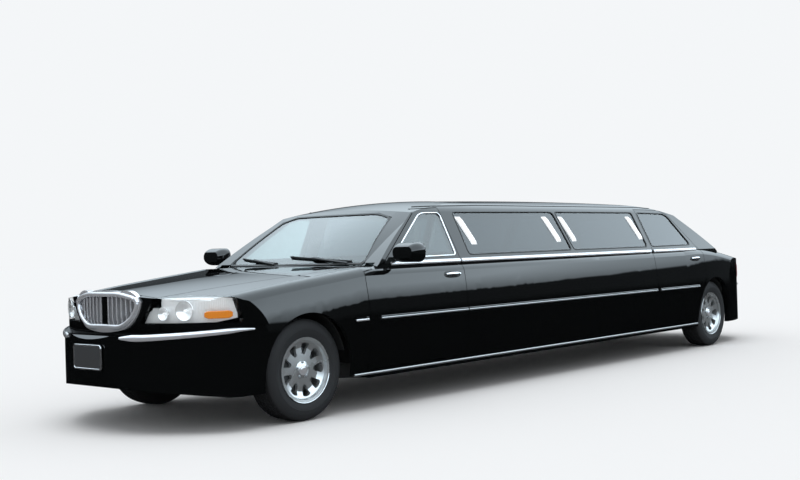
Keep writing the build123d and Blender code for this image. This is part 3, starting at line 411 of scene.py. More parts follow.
def swept(path: np.ndarray, facing: Sequence[float], profile: np.ndarray, closed: bool = False) -> Shape:
    """A profile carried along a path: point = path + across * a + facing * b for each (a, b) of it.

    Args:
        path: points of the path.
        facing: the outward direction, one for all points or one for each.
        profile: closed loop of (across, outwards), or one such loop for each point of the path.
        closed: joins the path's end to its start; otherwise both ends are capped.

    Returns:
        The shape.
    """
    ahead = unit(np.roll(path, -1, 0) - np.roll(path, 1, 0) if closed else np.gradient(path, axis=0))
    facing = np.broadcast_to(facing, path.shape)
    out = unit(facing - (facing * ahead).sum(-1, keepdims=True) * ahead)
    across = np.cross(out, ahead)
    loops = np.broadcast_to(profile, (len(path), *np.shape(profile)[-2:]))
    rows = path[:, None] + loops[..., 0:1] * across[:, None] + loops[..., 1:2] * out[:, None]
    shape = Shape.grid(rows, closed, True)
    if not closed:
        n = loops.shape[1]
        last = (len(path) - 1) * n
        shape.faces.extend([list(range(n))[::-1], [last + k for k in range(n)]])
    return shape


def revolved(profile: Outline, count: int = 64, closed: bool = False) -> Shape:
    """(radius * cos t, radius * sin t, height) for each (radius, height) of the profile.

    Args:
        profile: (radius, height) points; a radius of 0 makes a pole.
        count: steps round the axis.
        closed: joins the profile's end to its start.

    Returns:
        The shape.
    """
    turn = np.linspace(0, 2 * math.pi, count, endpoint=False)[:, None]
    radius, height = np.asarray(profile, float).T
    return Shape.grid(stacked(radius * np.cos(turn), radius * np.sin(turn), height), True, closed)


def oval_profile(width: float, height: float, steps: int) -> np.ndarray:
    """A closed ellipse of half sizes width and height: (width cos t, height sin t)."""
    t = np.linspace(0, 2 * math.pi, steps, endpoint=False)
    return stacked(width * np.cos(t), height * np.sin(t))


def dome_profile(width: float, height: float, sunk: float = 0.003, steps: int = 9) -> np.ndarray:
    """A half ellipse on a flat foot that reaches sunk under the surface."""
    half, t = width / 2, np.linspace(0, math.pi, steps)
    return np.concatenate([stacked(half * np.cos(t), height * np.sin(t)), [(-half, -sunk), (half, -sunk)]])


def band_profile(width: float, height: float, chamfer: float, sunk: float = 0.003) -> np.ndarray:
    """A flat band with chamfered edges that reaches sunk under the surface."""
    edge = np.array([(width / 2, -sunk), (width / 2, height - chamfer), (width / 2 - chamfer, height)])
    return np.concatenate([edge, edge[::-1] * (-1, 1)])


def oblong(width: float, height: float) -> Outline:
    """The four corners of an oblong about the origin, with half sizes width and height."""
    return ((-width, -height), (width, -height), (width, height), (-width, height))


def rounded_loop(corners: Outline, radius: float, grow: float = 0.0, step: float = 0.02) -> np.ndarray:
    """A closed outline with rounded corners, in even steps.

    Each corner P is a quadratic curve between the points at radius from it on its two sides.

    Args:
        corners: the outline's corners.
        radius: length that a corner takes off each side.
        grow: moves the outline outwards.
        step: about how far apart the points stand.

    Returns:
        The points of the outline.
    """
    p = np.array(corners)
    middle, span = (p.max(0) + p.min(0)) / 2, np.ptp(p, axis=0)
    p = middle + (p - middle) * (1 + 2 * grow / span)
    before, after = unit(np.roll(p, 1, 0) - p), unit(np.roll(p, -1, 0) - p)
    t = np.linspace(0, 1, 9)[None, :, None]
    a, c = (p + radius * before)[:, None], (p + radius * after)[:, None]
    curve = (a * (1 - t) ** 2 + 2 * p[:, None] * t * (1 - t) + c * t**2).reshape(-1, 2)
    curve = np.vstack([curve, curve[:1]])
    along = np.concatenate([[0.0], np.cumsum(np.linalg.norm(np.diff(curve, axis=0), axis=1))])
    at = np.linspace(0, along[-1], max(int(along[-1] / step), 3) + 1)[:-1]
    return stacked(*(np.interp(at, along, column) for column in curve.T))


def layered(loop: np.ndarray, shares: Sequence[float], lifts: np.ndarray) -> Shape:
    """Copies of a closed outline, one inside the other: (share * x, share * y, lift) for each.

    Args:
        loop: points (x, y) of the outline.
        shares: size of each copy.
        lifts: height of each copy, or of each point of each copy.

    Returns:
        The shape.
    """
    inner = np.array(shares)[:, None, None] * loop
    return Shape.grid(stacked(inner[..., 0], inner[..., 1], np.reshape(lifts, (len(shares), -1))), False, True)


def drawn_in(size: Vec3, u: np.ndarray, v: np.ndarray, pull: float = 0.06) -> tuple[np.ndarray, np.ndarray]:
    """A cushion's plan over u and v in [-1, 1], whose sides draw in between the corners.

    x = a u (1 - pull (1 - v^2)) (1 - 0.07 v^4), and y likewise with b and with u and v changed over.

    Args:
        size: length, width and thickness of the cushion.
        u: place along its length.
        v: place along its width.
        pull: how far the sides draw in, as a share of the half size.

    Returns:
        x and y.
    """
    x = size[0] / 2 * u * (1 - pull * (1 - v**2)) * (1 - 0.07 * v**4)
    y = size[1] / 2 * v * (1 - pull * (1 - u**2)) * (1 - 0.07 * u**4)
    return x, y


def pillow(size: Vec3, crown: float, channels: Sequence[float], flat: bool) -> Shape:
    """A padded form, as two sheets over (u, v) in [-1, 1] that meet at its seam.

    Its height is (h - crown) ((1 - u^6)(1 - v^6))^0.4 + crown (1 - u^2)(1 - v^2), less a groove of
    Gaussian section along each channel.  The lower sheet rests flat, or bulges as the upper.

    Args:
        size: length, width and thickness.
        crown: rise of the middle over the edges.
        channels: places of the sewn channels, as values of u.
        flat: whether it rests on its lower side.

    Returns:
        The shape.
    """
    h = size[2] / 2
    t = np.sin(np.linspace(-math.pi / 2, math.pi / 2, 37))
    u, v = np.meshgrid(t, t, indexing="ij")
    x, y = drawn_in(size, u, v)
    edge = (np.maximum(1 - u**6, 0) * np.maximum(1 - v**6, 0)) ** 0.4
    groove = sum((np.exp(-(((u - c) / 0.035) ** 2)) for c in channels), start=0 * u)
    bulge = (h - crown) * edge + crown * (1 - u**2) * (1 - v**2)
    upper, lower = bulge - 0.012 * groove * edge, -h * edge if flat else -bulge
    return Shape.joined(Shape.grid(stacked(x, y, z)) for z in (upper, lower))


def welt(size: Vec3, radius: float = 0.004) -> Shape:
    """The cord sewn into the seam of a pillow.

    Args:
        size: length, width and thickness of the pillow.
        radius: radius of the cord.

    Returns:
        The shape.
    """
    t = np.linspace(-1, 1, 25)[:-1]
    one = np.ones_like(t)
    x, y = drawn_in(size, np.concatenate([t, one, -t, -one]), np.concatenate([-one, t, one, -t]))
    return swept(stacked(x, y, 0.0), UP, oval_profile(radius, radius, 8), closed=True)


def oval_boss(length: float, width: float, height: float, power: float = 2.6, foot: float = 0.004) -> Shape:
    """A low boss: |x / a|^p + |y / b|^p = r^p, z = height (1 - r^4), down to a flat foot.

    Args:
        length: size along its first axis.
        width: size along its second axis.
        height: rise of its middle.
        power: 2 for an ellipse, more for a squarer outline.
        foot: depth of its flat underside.

    Returns:
        The shape.
    """
    turn = np.linspace(0, 2 * math.pi, 48, endpoint=False)[:, None]
    rise = np.linspace(0, 1, 9)
    r = np.concatenate([rise, [1.0, 0.0]])
    z = np.concatenate([height * (1 - rise**4), [-foot, -foot]])
    c, s = np.cos(turn), np.sin(turn)
    x = length / 2 * np.sign(c) * np.abs(c) ** (2 / power) * r
    y = width / 2 * np.sign(s) * np.abs(s) ** (2 / power) * r
    return Shape.grid(stacked(x, y, z), True, False)


def closed_pair(front: np.ndarray, back: np.ndarray) -> Shape:
    """Two sheets joined round their rims.

    Args:
        front: points of the one sheet, shaped (u, v, 3).
        back: points of the other, in the same order.

    Returns:
        The shape.
    """
    n, m = front.shape[:2]
    sheets = Shape.joined([Shape.grid(front), Shape.grid(back)])
    at = np.arange(n * m).reshape(n, m)
    edge = np.concatenate([at[0, :-1], at[:-1, -1], at[-1, :0:-1], at[:0:-1, 0]])
    after = np.roll(edge, -1)
    ring = stacked(edge, after, after + n * m, edge + n * m)
    return Shape(sheets.points, sheets.faces + ring.tolist())


def blister(rows: np.ndarray, facing: np.ndarray, height: float) -> Shape:
    """A lens over a patch of a surface: point + height (1 - u^8)(1 - v^8) * facing, on a sunk foot.

    Args:
        rows: points of the patch, shaped (u, v, 3).
        facing: the outward direction at each.
        height: how far its face stands out.

    Returns:
        The shape.
    """
    u = np.linspace(-1, 1, rows.shape[0])[:, None, None]
    v = np.linspace(-1, 1, rows.shape[1])[None, :, None]
    return closed_pair(rows + height * (1 - u**8) * (1 - v**8) * facing, rows - 0.003 * facing)


# ---------------------------------------------------------------- places on the CAD surfaces
class Skin:
    """The outer surface of some CAD nodes, to lay trim on."""

    def __init__(self, nodes: Nodes, *names: str) -> None:
        """Gathers the nodes' triangles.

        Args:
            nodes: the frame's nodes by name.
            names: the nodes to gather.
        """
        corners, triangles, count = [], [], 0
        for name in names:
            mesh, turned = nodes[name].data, np.array(nodes[name].matrix_world)
            mesh.calc_loop_triangles()
            at = np.empty(len(mesh.vertices) * 3)
            mesh.vertices.foreach_get("co", at)
            corners.append(at.reshape(-1, 3) @ turned[:3, :3].T + turned[:3, 3])
            index = np.empty(len(mesh.loop_triangles) * 3, dtype=np.int32)
            mesh.loop_triangles.foreach_get("vertices", index)
            triangles.append(index.reshape(-1, 3) + count)
            count += len(mesh.vertices)
        self.tree = BVHTree.FromPolygons(np.concatenate(corners).tolist(), np.concatenate(triangles).tolist())

    def cast(self, origins: np.ndarray, directions: Sequence[float], even: int = 7) -> Laid:
        """Where rays meet the surface, and which way it faces there.

        Args:
            origins: starts of the rays.
            directions: their directions, one for all or one for each.
            even: how many neighbours each outward direction is evened over, to hide the facets.

        Returns:
            Points and outward directions, without the rays that miss.

        Raises:
            ValueError: if every ray misses.
        """
        rays = zip(origins, np.broadcast_to(directions, origins.shape))
        hits = [(self.tree.ray_cast(Vector(start), Vector(way)), Vector(way)) for start, way in rays]
        found = [(hit[0], -hit[1] if hit[1].dot(way) > 0 else hit[1]) for hit, way in hits if hit[0]]
        if not found:
            raise ValueError("no ray meets the surface")
        points, facing = (np.array([tuple(row) for row in column]) for column in zip(*found))
        if even > 1 and len(points) > even:
            padded = np.pad(facing, ((even // 2, even // 2), (0, 0)), mode="edge")
            facing = stacked(*(np.convolve(padded[:, k], np.ones(even) / even, "valid") for k in range(3)))
        return points, unit(facing)

    def from_side(self, stations: np.ndarray, heights: np.ndarray | float, side: Side, even: int = 7) -> Laid:
        """Lays points on the surface, as seen from a side of the car.

        Args:
            stations: their stations.
            heights: their heights.
            side: the side.
            even: as in cast.

        Returns:
            Points and outward directions.
        """
        return self.cast(stacked(CAR.x(0) + stations, side.value * 1.6, heights), (0.0, -side.value, 0.0), even)

    def from_end(self, y: np.ndarray, heights: np.ndarray | float, station: float) -> Laid:
        """Lays points on the surface, as seen from before the nose or behind the tail.

        Args:
            y: their distances from the centre plane.
            heights: their heights.
            station: where they are seen from.

        Returns:
            Points and outward directions.
        """
        return self.cast(stacked(CAR.x(station), y, heights), (1.0 if station < 3 else -1.0, 0.0, 0.0))

    def from_round(self, centre: float, turns: np.ndarray, heights: np.ndarray | float) -> Laid:
        """Lays points on the surface, as seen from all round a place on the centre plane.

        Args:
            centre: station of that place.
            turns: angles in degrees from straight ahead (-X) towards the car's left (-Y).
            heights: their heights.

        Returns:
            Points and outward directions.
        """
        t = np.radians(turns)
        out = stacked(-np.cos(t), -np.sin(t), 0.0)
        return self.cast(stacked(CAR.x(centre), 0.0, heights + 0 * t) + 4.0 * out, -out)


# ---------------------------------------------------------------- sub-assemblies
@dataclass(frozen=True)
class Fitted:
    """A sub-assembly that is laid on CAD nodes.

    Args:
        nodes: the frame's nodes by name.
    """

    nodes: Nodes


@dataclass(frozen=True)
class SideFitted(Fitted):
    """A sub-assembly that each side of the car has.

    Args:
        side: the side that it is on.
    """

    side: Side


@dataclass(frozen=True)
class AtWheel:
    """A sub-assembly that each wheel has.

    Args:
        axle: the wheel's axle.
        side: the wheel's side.
    """

    axle: Axle
    side: Side

    @property
    def name(self) -> str:
        """The wheel as it stands in the names of nodes and pieces."""
        return f"{self.axle.word}_{self.side.word}"


@dataclass(frozen=True)
class Bodywork(Fitted):
    """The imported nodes, each in the finish of its material slot.

    Args:
        record: the frame's record.
    """

    record: dict

    def dress(self) -> None:
        """Gives every CAD node its finish."""
        slots = {part["node"]: part["material_slot"] for part in self.record["subparts"]}
        for name, node in self.nodes.items():
            finish = DARK_GLASS if name.startswith("door_glass_rear") else SLOT_FINISH[slots[name]]
            node.data.materials.clear()
            node.data.materials.append(finish.material())
        LOG.info("finish given to %d nodes", len(self.nodes))


@dataclass(frozen=True)
class Tyre(AtWheel):
    """A tyre with a moulded tread.

    Args:
        half_section: (distance from its centre plane, radius) from bead to crown.
        inner: the same for the inside, from one bead to the other.
        tread_half: half width of the tread.
        grooves: centre and half width of each groove round the tread.
        depth: depth of the tread.
        pitches: blocks round the tyre.
        skew: how far a block leans from the middle to the edge, in radians.
    """

    half_section: Outline = (
        (0.0915, 0.209), (0.0935, 0.2135), (0.094, 0.222), (0.0965, 0.2275), (0.0985, 0.2285), (0.1, 0.233),
        (0.1055, 0.246), (0.110, 0.262), (0.1118, 0.276), (0.1132, 0.2775), (0.1118, 0.279), (0.1108, 0.292),
        (0.1085, 0.306), (0.1035, 0.320), (0.0985, 0.3305), (0.0935, 0.3385), (0.088, 0.3435),
    )  # fmt: skip
    inner: Outline = ((0.088, 0.2135), (0.0, 0.2115), (-0.088, 0.2135))
    tread_half: float = 0.084
    grooves: tuple[Vec2, ...] = ((-0.056, 0.0045), (-0.019, 0.005), (0.019, 0.005), (0.056, 0.0045))
    depth: float = 0.0075
    pitches: int = 64
    skew: float = 0.045

    def build(self) -> None:
        """Revolves the section: its radius falls by depth in a groove, and by 0.62 depth in a block's sipe."""
        edges = [c + k * w + gap for c, w in self.grooves for k in (-1, 1) for gap in (-0.001, 0.001)]
        a = np.sort(np.concatenate([np.linspace(-self.tread_half, self.tread_half, 19), edges]))
        crown = CAR.tyre_radius - 0.0065 * (np.abs(a) / 0.088) ** 2.2
        cut = np.any([np.abs(a - centre) < half for centre, half in self.grooves], 0).astype(float)
        wall = np.array(self.half_section)
        across, radius = np.concatenate([wall * (-1, 1), stacked(a, crown), wall[::-1], self.inner]).T
        pad = (len(wall), len(wall) + len(self.inner))
        grooved, block = np.pad(cut, pad), np.pad(1 - cut, pad)
        steps = np.array([0.0, 0.04, 0.16, 0.20, 0.60])
        turn = (np.arange(self.pitches)[:, None] + steps).ravel() / self.pitches * 2 * math.pi
        sipe = np.tile((0.0, 1.0, 1.0, 0.0, 0.0), self.pitches)[:, None]
        angle = turn[:, None] + self.skew * np.minimum(np.abs(across), self.tread_half) / self.tread_half
        r = radius - self.depth * grooved - 0.62 * self.depth * sipe * block
        x, z = CAR.x(self.axle.value) + r * np.cos(angle), CAR.tyre_radius + r * np.sin(angle)
        rows = stacked(x, self.side.value * (CAR.track_half + across), z)
        tread, wheel, tyre = (f"{word}_{self.name}" for word in ("tread", "wheel", "tyre"))
        piece(tread, Shape.grid(rows, True, True), TYRE, wheel, (tyre,), sharp=30)


@dataclass(frozen=True)
class WheelTrim(AtWheel):
    """What is fitted to a cast wheel: hub cap, nuts, rim lip, and the brake disc behind it.

    Sections are (radius, distance from the wheel's centre plane or from its hub face).

    Args:
        face: distance of the wheel's hub face from its centre plane.
        cap: section of the hub cap, from the hub face.
        nut: section of a nut, from the hub face.
        nut_circle: radius of the circle of nuts.
        nuts: how many of them.
        lip: section of the rim lip.
        disc: section of the brake disc.
    """

    face: float = 0.076
    cap: Outline = ((0, 0.010), (0.0152, 0.0095), (0.02356, 0.0075), (0.02508, 0.0058), (0.0342, 0.005),
                    (0.038, 0.003), (0.038, -0.004), (0, -0.004))  # fmt: skip
    nut: Outline = ((0, 0.012), (0.0055, 0.012), (0.0085, 0.009), (0.0095, 0.004), (0.0095, -0.008),
                    (0, -0.008))  # fmt: skip
    nut_circle: float = 0.052
    nuts: int = 5
    lip: Outline = ((0.2225, 0.1035), (0.2252, 0.1052), (0.2262, 0.1035), (0.2245, 0.0985), (0.2225, 0.0985))
    disc: Outline = ((0.0615, 0.030), (0.085, 0.030), (0.087, 0.0335), (0.150, 0.0335), (0.1515, 0.032),
                     (0.1515, 0.0285), (0.0615, 0.0285))  # fmt: skip

    def build(self) -> None:
        """Makes the pieces of one wheel."""
        body, s = f"wheel_{self.name}", self.side.value
        hub = np.array([CAR.x(self.axle.value), s * CAR.track_half, CAR.tyre_radius])
        axes = (ALONG, UP, (0.0, s, 0.0))
        cap = revolved(np.array(self.cap) + (0, self.face)).placed(hub, *axes)
        piece(f"hub_cap_{self.name}", cap, BRIGHT, body)
        turns = 2 * math.pi * (np.arange(self.nuts) + 0.25) / self.nuts
        x, z = self.nut_circle * np.cos(turns), self.nut_circle * np.sin(turns)
        places = hub + stacked(x, s * (self.face - 0.008), z)
        nuts = Shape.joined(revolved(self.nut, 6).placed(at, *axes) for at in places)
        piece(f"wheel_nuts_{self.name}", nuts, SATIN, body, sharp=25)
        piece(f"rim_lip_{self.name}", revolved(self.lip, 96, True).placed(hub, *axes), CHROME, body)
        piece(f"brake_disc_{self.name}", revolved(self.disc, 96, True).placed(hub, *axes), DISC, body)


@dataclass(frozen=True)
class SideTrim(SideFitted):
    """Mouldings along the side: the belt strip, the rubbing strip with its insert, and the sill strip.

    Args:
        belt: height of the belt strip.
        middle: height of the rubbing strip.
        insert: height of the insert's middle over the rubbing strip's.
        sill: height of the sill strip.
        step: distance between the points of a strip.
    """

    belt: float = 1.052
    middle: float = 0.652
    insert: float = 0.008
    sill: float = 0.268
    step: float = 0.03

    def build(self) -> None:
        """Lays the strips on one side, in lengths that end at the doors' edges."""
        word = self.side.word
        front, rear = f"door_front_{word}", f"door_rear_{word}"
        shells = {name: Skin(self.nodes, name) for name in (front, rear)}
        shells["body"] = Skin(self.nodes, f"body_side_{word}", "front_fenders")
        belt = ((front, 0.880, 1.698), ("body", 1.716, 4.745), (rear, 4.800, 5.690))
        middle = (("body", 0.425, 0.588), (front, 0.690, 1.700), ("body", 1.716, 4.770), (rear, 4.808, 5.636))
        for label, height, lengths, profile, finish in (
            ("belt_strip", self.belt, belt, dome_profile(0.032, 0.008), BRIGHT),
            ("rubbing_strip", self.middle, middle, band_profile(0.052, 0.009, 0.004), BLACK_PAINT),
            ("strip_insert", self.middle + self.insert, middle, dome_profile(0.026, 0.011, -0.006), SATIN),
            ("sill_strip", self.sill, (("body", 0.402, 5.640),), dome_profile(0.020, 0.008), SATIN),
        ):
            for count, (body, start, end) in enumerate(lengths):
                stations = np.linspace(start, end, max(int((end - start) / self.step), 6))
                laid = shells[body].from_side(stations, height, self.side)
                shape = swept(*laid, profile * (-self.side.value, 1))
                fore = label == "strip_insert" and count == 0
                piece(f"{label}_{word}_{count}", shape, BRIGHT if fore else finish, body)


@dataclass(frozen=True)
class BumperTrim(Fitted):
    """Bright strips round the tops of the bumpers.

    Args:
        front_width: width of the front strip.
        front_turns: where a length of it starts and ends, in degrees round the middle of the nose.
        front_heights: heights of its two ends.
        rear_width: width of the rear strip.
        rear_turn: how far the rear strip reaches to each side, in degrees.
        rear_height: height of the rear strip.
    """

    front_width: float = 0.044
    front_turns: Vec2 = (19, 73.5)
    front_heights: Vec2 = (0.632, 0.668)
    rear_width: float = 0.022
    rear_turn: float = 62.0
    rear_height: float = 0.632

    def build(self) -> None:
        """Lays two lengths on the front bumper and one on the rear."""
        front, rear = Skin(self.nodes, "front_bumper"), Skin(self.nodes, "rear_bumper")
        for side in Side:
            turns = np.linspace(*self.front_turns, 60) * -side.value
            probe, _ = front.from_round(CAR.nose, turns, 0.62)
            heights = np.interp(probe[:, 0] - CAR.x(0), (-1.0, -0.56), self.front_heights)
            path, facing = front.from_round(CAR.nose, turns, heights)
            taper = np.interp(np.arange(len(path)), (0, 6, 48, len(path) - 1), (0.45, 1.0, 0.8, 0.3))
            profile = dome_profile(self.front_width, 0.013) * stacked(taper, 1.0)[:, None]
            piece(f"front_bumper_strip_{side.word}", swept(path, facing, profile), BRIGHT)
        turns = np.linspace(180 - self.rear_turn, 180 + self.rear_turn, 140)
        laid = rear.from_round(CAR.tail, turns, self.rear_height)
        piece("rear_bumper_strip", swept(*laid, dome_profile(self.rear_width, 0.008)), CHROME)


@dataclass(frozen=True)
class Glazing(Fitted):
    """Seals round the glass, bright reveals of the front doors, wipers and the roof's drip rails.

    Args:
        front_window: (station, height) corners of a front door's window.
        rear_window: the same of a rear door's.
        fore_window: the same of the foremost fixed window of a side.
        aft_window: the same of the fixed window behind it.
        windscreen: (y, height) corners of the windscreen.
        backlight: the same of the backlight.
        rail: (station, height) points of a drip rail.
        wipers: (y, height) of each wiper's two ends.
    """

    front_window: Outline = ((0.922, 1.092), (1.668, 1.098), (1.668, 1.428), (1.460, 1.426), (1.404, 1.412))
    rear_window: Outline = ((4.815, 1.102), (5.620, 1.106), (5.405, 1.400), (5.330, 1.426), (4.815, 1.436))
    fore_window: Outline = ((1.850, 1.098), (3.345, 1.102), (3.292, 1.428), (3.255, 1.440), (1.850, 1.436))
    aft_window: Outline = ((3.395, 1.102), (4.715, 1.102), (4.700, 1.438), (3.338, 1.440))
    windscreen: Outline = (
        (-0.772, 1.049), (-0.622, 1.398), (-0.466, 1.438), (0.466, 1.438), (0.622, 1.398), (0.772, 1.049),
    )  # fmt: skip
    backlight: Outline = (
        (-0.732, 1.053), (-0.600, 1.345), (-0.496, 1.409), (0.496, 1.409), (0.600, 1.345), (0.732, 1.053),
    )  # fmt: skip
    rail: Outline = ((1.52, 1.487), (2.2, 1.500), (4.9, 1.498), (5.26, 1.482))
    wipers: tuple[Outline, ...] = (((-0.66, 1.066), (-0.06, 1.108)), ((0.02, 1.060), (0.60, 1.100)))

    def build(self) -> None:
        """Makes the seals, reveals, wipers and drip rails."""
        for side in Side:
            word = side.word
            bright, seal = (dome_profile(0.012, height) * (-side.value, 1) for height in (0.006, 0.0045))
            for node, corners, name, profile, finish in (
                (f"door_front_{word}", self.front_window, f"window_reveal_{word}", bright, CHROME),
                (f"door_rear_{word}", self.rear_window, f"rear_window_seal_{word}", seal, RUBBER),
                (f"body_side_{word}", self.fore_window, f"side_window_seal_{word}_0", seal, RUBBER),
                (f"body_side_{word}", self.aft_window, f"side_window_seal_{word}_1", seal, RUBBER),
            ):
                laid = Skin(self.nodes, node).from_side(*rounded_loop(corners, 0.03, 0.0055).T, side, 5)
                body = node if node.startswith("door") else "body"
                piece(name, swept(*laid, profile, closed=True), finish, body)
            stations = np.linspace(self.rail[0][0], self.rail[-1][0], 90)
            laid = Skin(self.nodes, "roof").from_side(stations, np.interp(stations, *zip(*self.rail)), side)
            piece(f"drip_rail_{word}", swept(*laid, dome_profile(0.010, 0.005)), RUBBER)
        seal = band_profile(0.022, 0.0065, 0.002, 0.001)
        screens = (("windscreen", self.windscreen, -1.0), ("backlight", self.backlight, 7.5))
        for name, corners, station in screens:
            laid = Skin(self.nodes, name).from_end(*rounded_loop(corners, 0.045, -0.003).T, station)
            piece(f"{name}_seal", swept(*laid, seal, closed=True), RUBBER)
        self._wipers(Skin(self.nodes, "windscreen"))

    def _wipers(self, glass: Skin) -> None:
        """Two wipers, parked along the foot of the windscreen: an arm and a blade each.

        Args:
            glass: the windscreen.
        """
        arms, blades = [], []
        for start, end in self.wipers:
            t = np.linspace(0, 1, 24)[:, None]
            y, heights = (np.array(start) * (1 - t) + np.array(end) * t).T
            path, facing = glass.from_end(y, heights, -1.0)
            blades.append(swept(path + 0.009 * facing, facing, band_profile(0.011, 0.008, 0.003, 0.006)))
            path, facing = glass.from_end(y[:14] + 0.015, np.linspace(1.048, heights[13], 14), -1.0)
            arms.append(swept(path + 0.020 * facing, facing, band_profile(0.016, 0.005, 0.002, 0.005)))
        piece("wiper_arms", Shape.joined(arms), PLASTIC)
        piece("wiper_blades", Shape.joined(blades), RUBBER)


@dataclass(frozen=True)
class DoorHandle(SideFitted):
    """A bright pull handle on a dark plate.

    Args:
        door: the door's body, without the side.
        station: where its middle is.
        height: how high.
        length: length of the grip.
        lock: section of the lock barrel.
    """

    door: str
    station: float
    height: float
    length: float = 0.150
    lock: Outline = ((0, 0.0035), (0.006, 0.0035), (0.0085, 0.002), (0.0085, -0.004), (0, -0.004))

    def build(self) -> None:
        """Makes the plate, the grip and the lock barrel."""
        name = f"{self.door}_{self.side.word}"
        (at,), (out,) = Skin(self.nodes, name).from_side(np.array([self.station]), self.height, self.side)
        along = unit(np.cross(UP, out) * -self.side.value)
        up = unit(np.cross(out, along) * -self.side.value)
        plate = oval_boss(self.length + 0.058, 0.058, 0.005).placed(at, along, up, out)
        piece(f"handle_plate_{name}", plate, PLASTIC, name)
        t = np.linspace(-1, 1, 30)[:, None]
        path = at + t * self.length / 2 * along + (0.006 + 0.022 * (1 - t**6)) * out
        taper = (0.72 + 0.28 * (1 - t**2))[..., None]
        grip = swept(path, out, oval_profile(0.0125, 0.0075, 14) * taper)
        barrel = revolved(self.lock, 32).placed(at + 0.098 * along + 0.002 * out, along, up, out)
        piece(f"handle_{name}", Shape.joined([grip, barrel]), CHROME, name)


@dataclass(frozen=True)
class PillarLamps(SideFitted):
    """Leaning opal lamps on the ends of the fixed windows.

    Args:
        stations: stations of their lower ends.
        span: heights of their lower and upper ends.
        lean: how far forwards the upper end stands.
        width: width of a lamp.
        rise: how far a lamp stands out.
    """

    stations: tuple[float, ...] = (1.976, 3.214, 3.466, 4.672)
    span: Vec2 = (1.172, 1.402)
    lean: float = 0.084
    width: float = 0.074
    rise: float = 0.014

    def build(self) -> None:
        """Makes the lamps of one side in place of the CAD node's."""
        glass = Skin(self.nodes, "side_windows")
        z = np.linspace(*self.span, 24)
        back = self.lean * (z - z[0]) / (z[-1] - z[0])
        lenses = []
        for station in self.stations:
            columns = station + np.linspace(-0.5, 0.5, 9) * self.width
            rows = [glass.from_side(column - back, z, self.side) for column in columns]
            lenses.append(blister(*np.swapaxes(rows, 0, 1), self.rise))
        piece(f"pillar_lamps_{self.side.word}", Shape.joined(lenses), OPAL_LENS, replaces=("opera_lamps",))


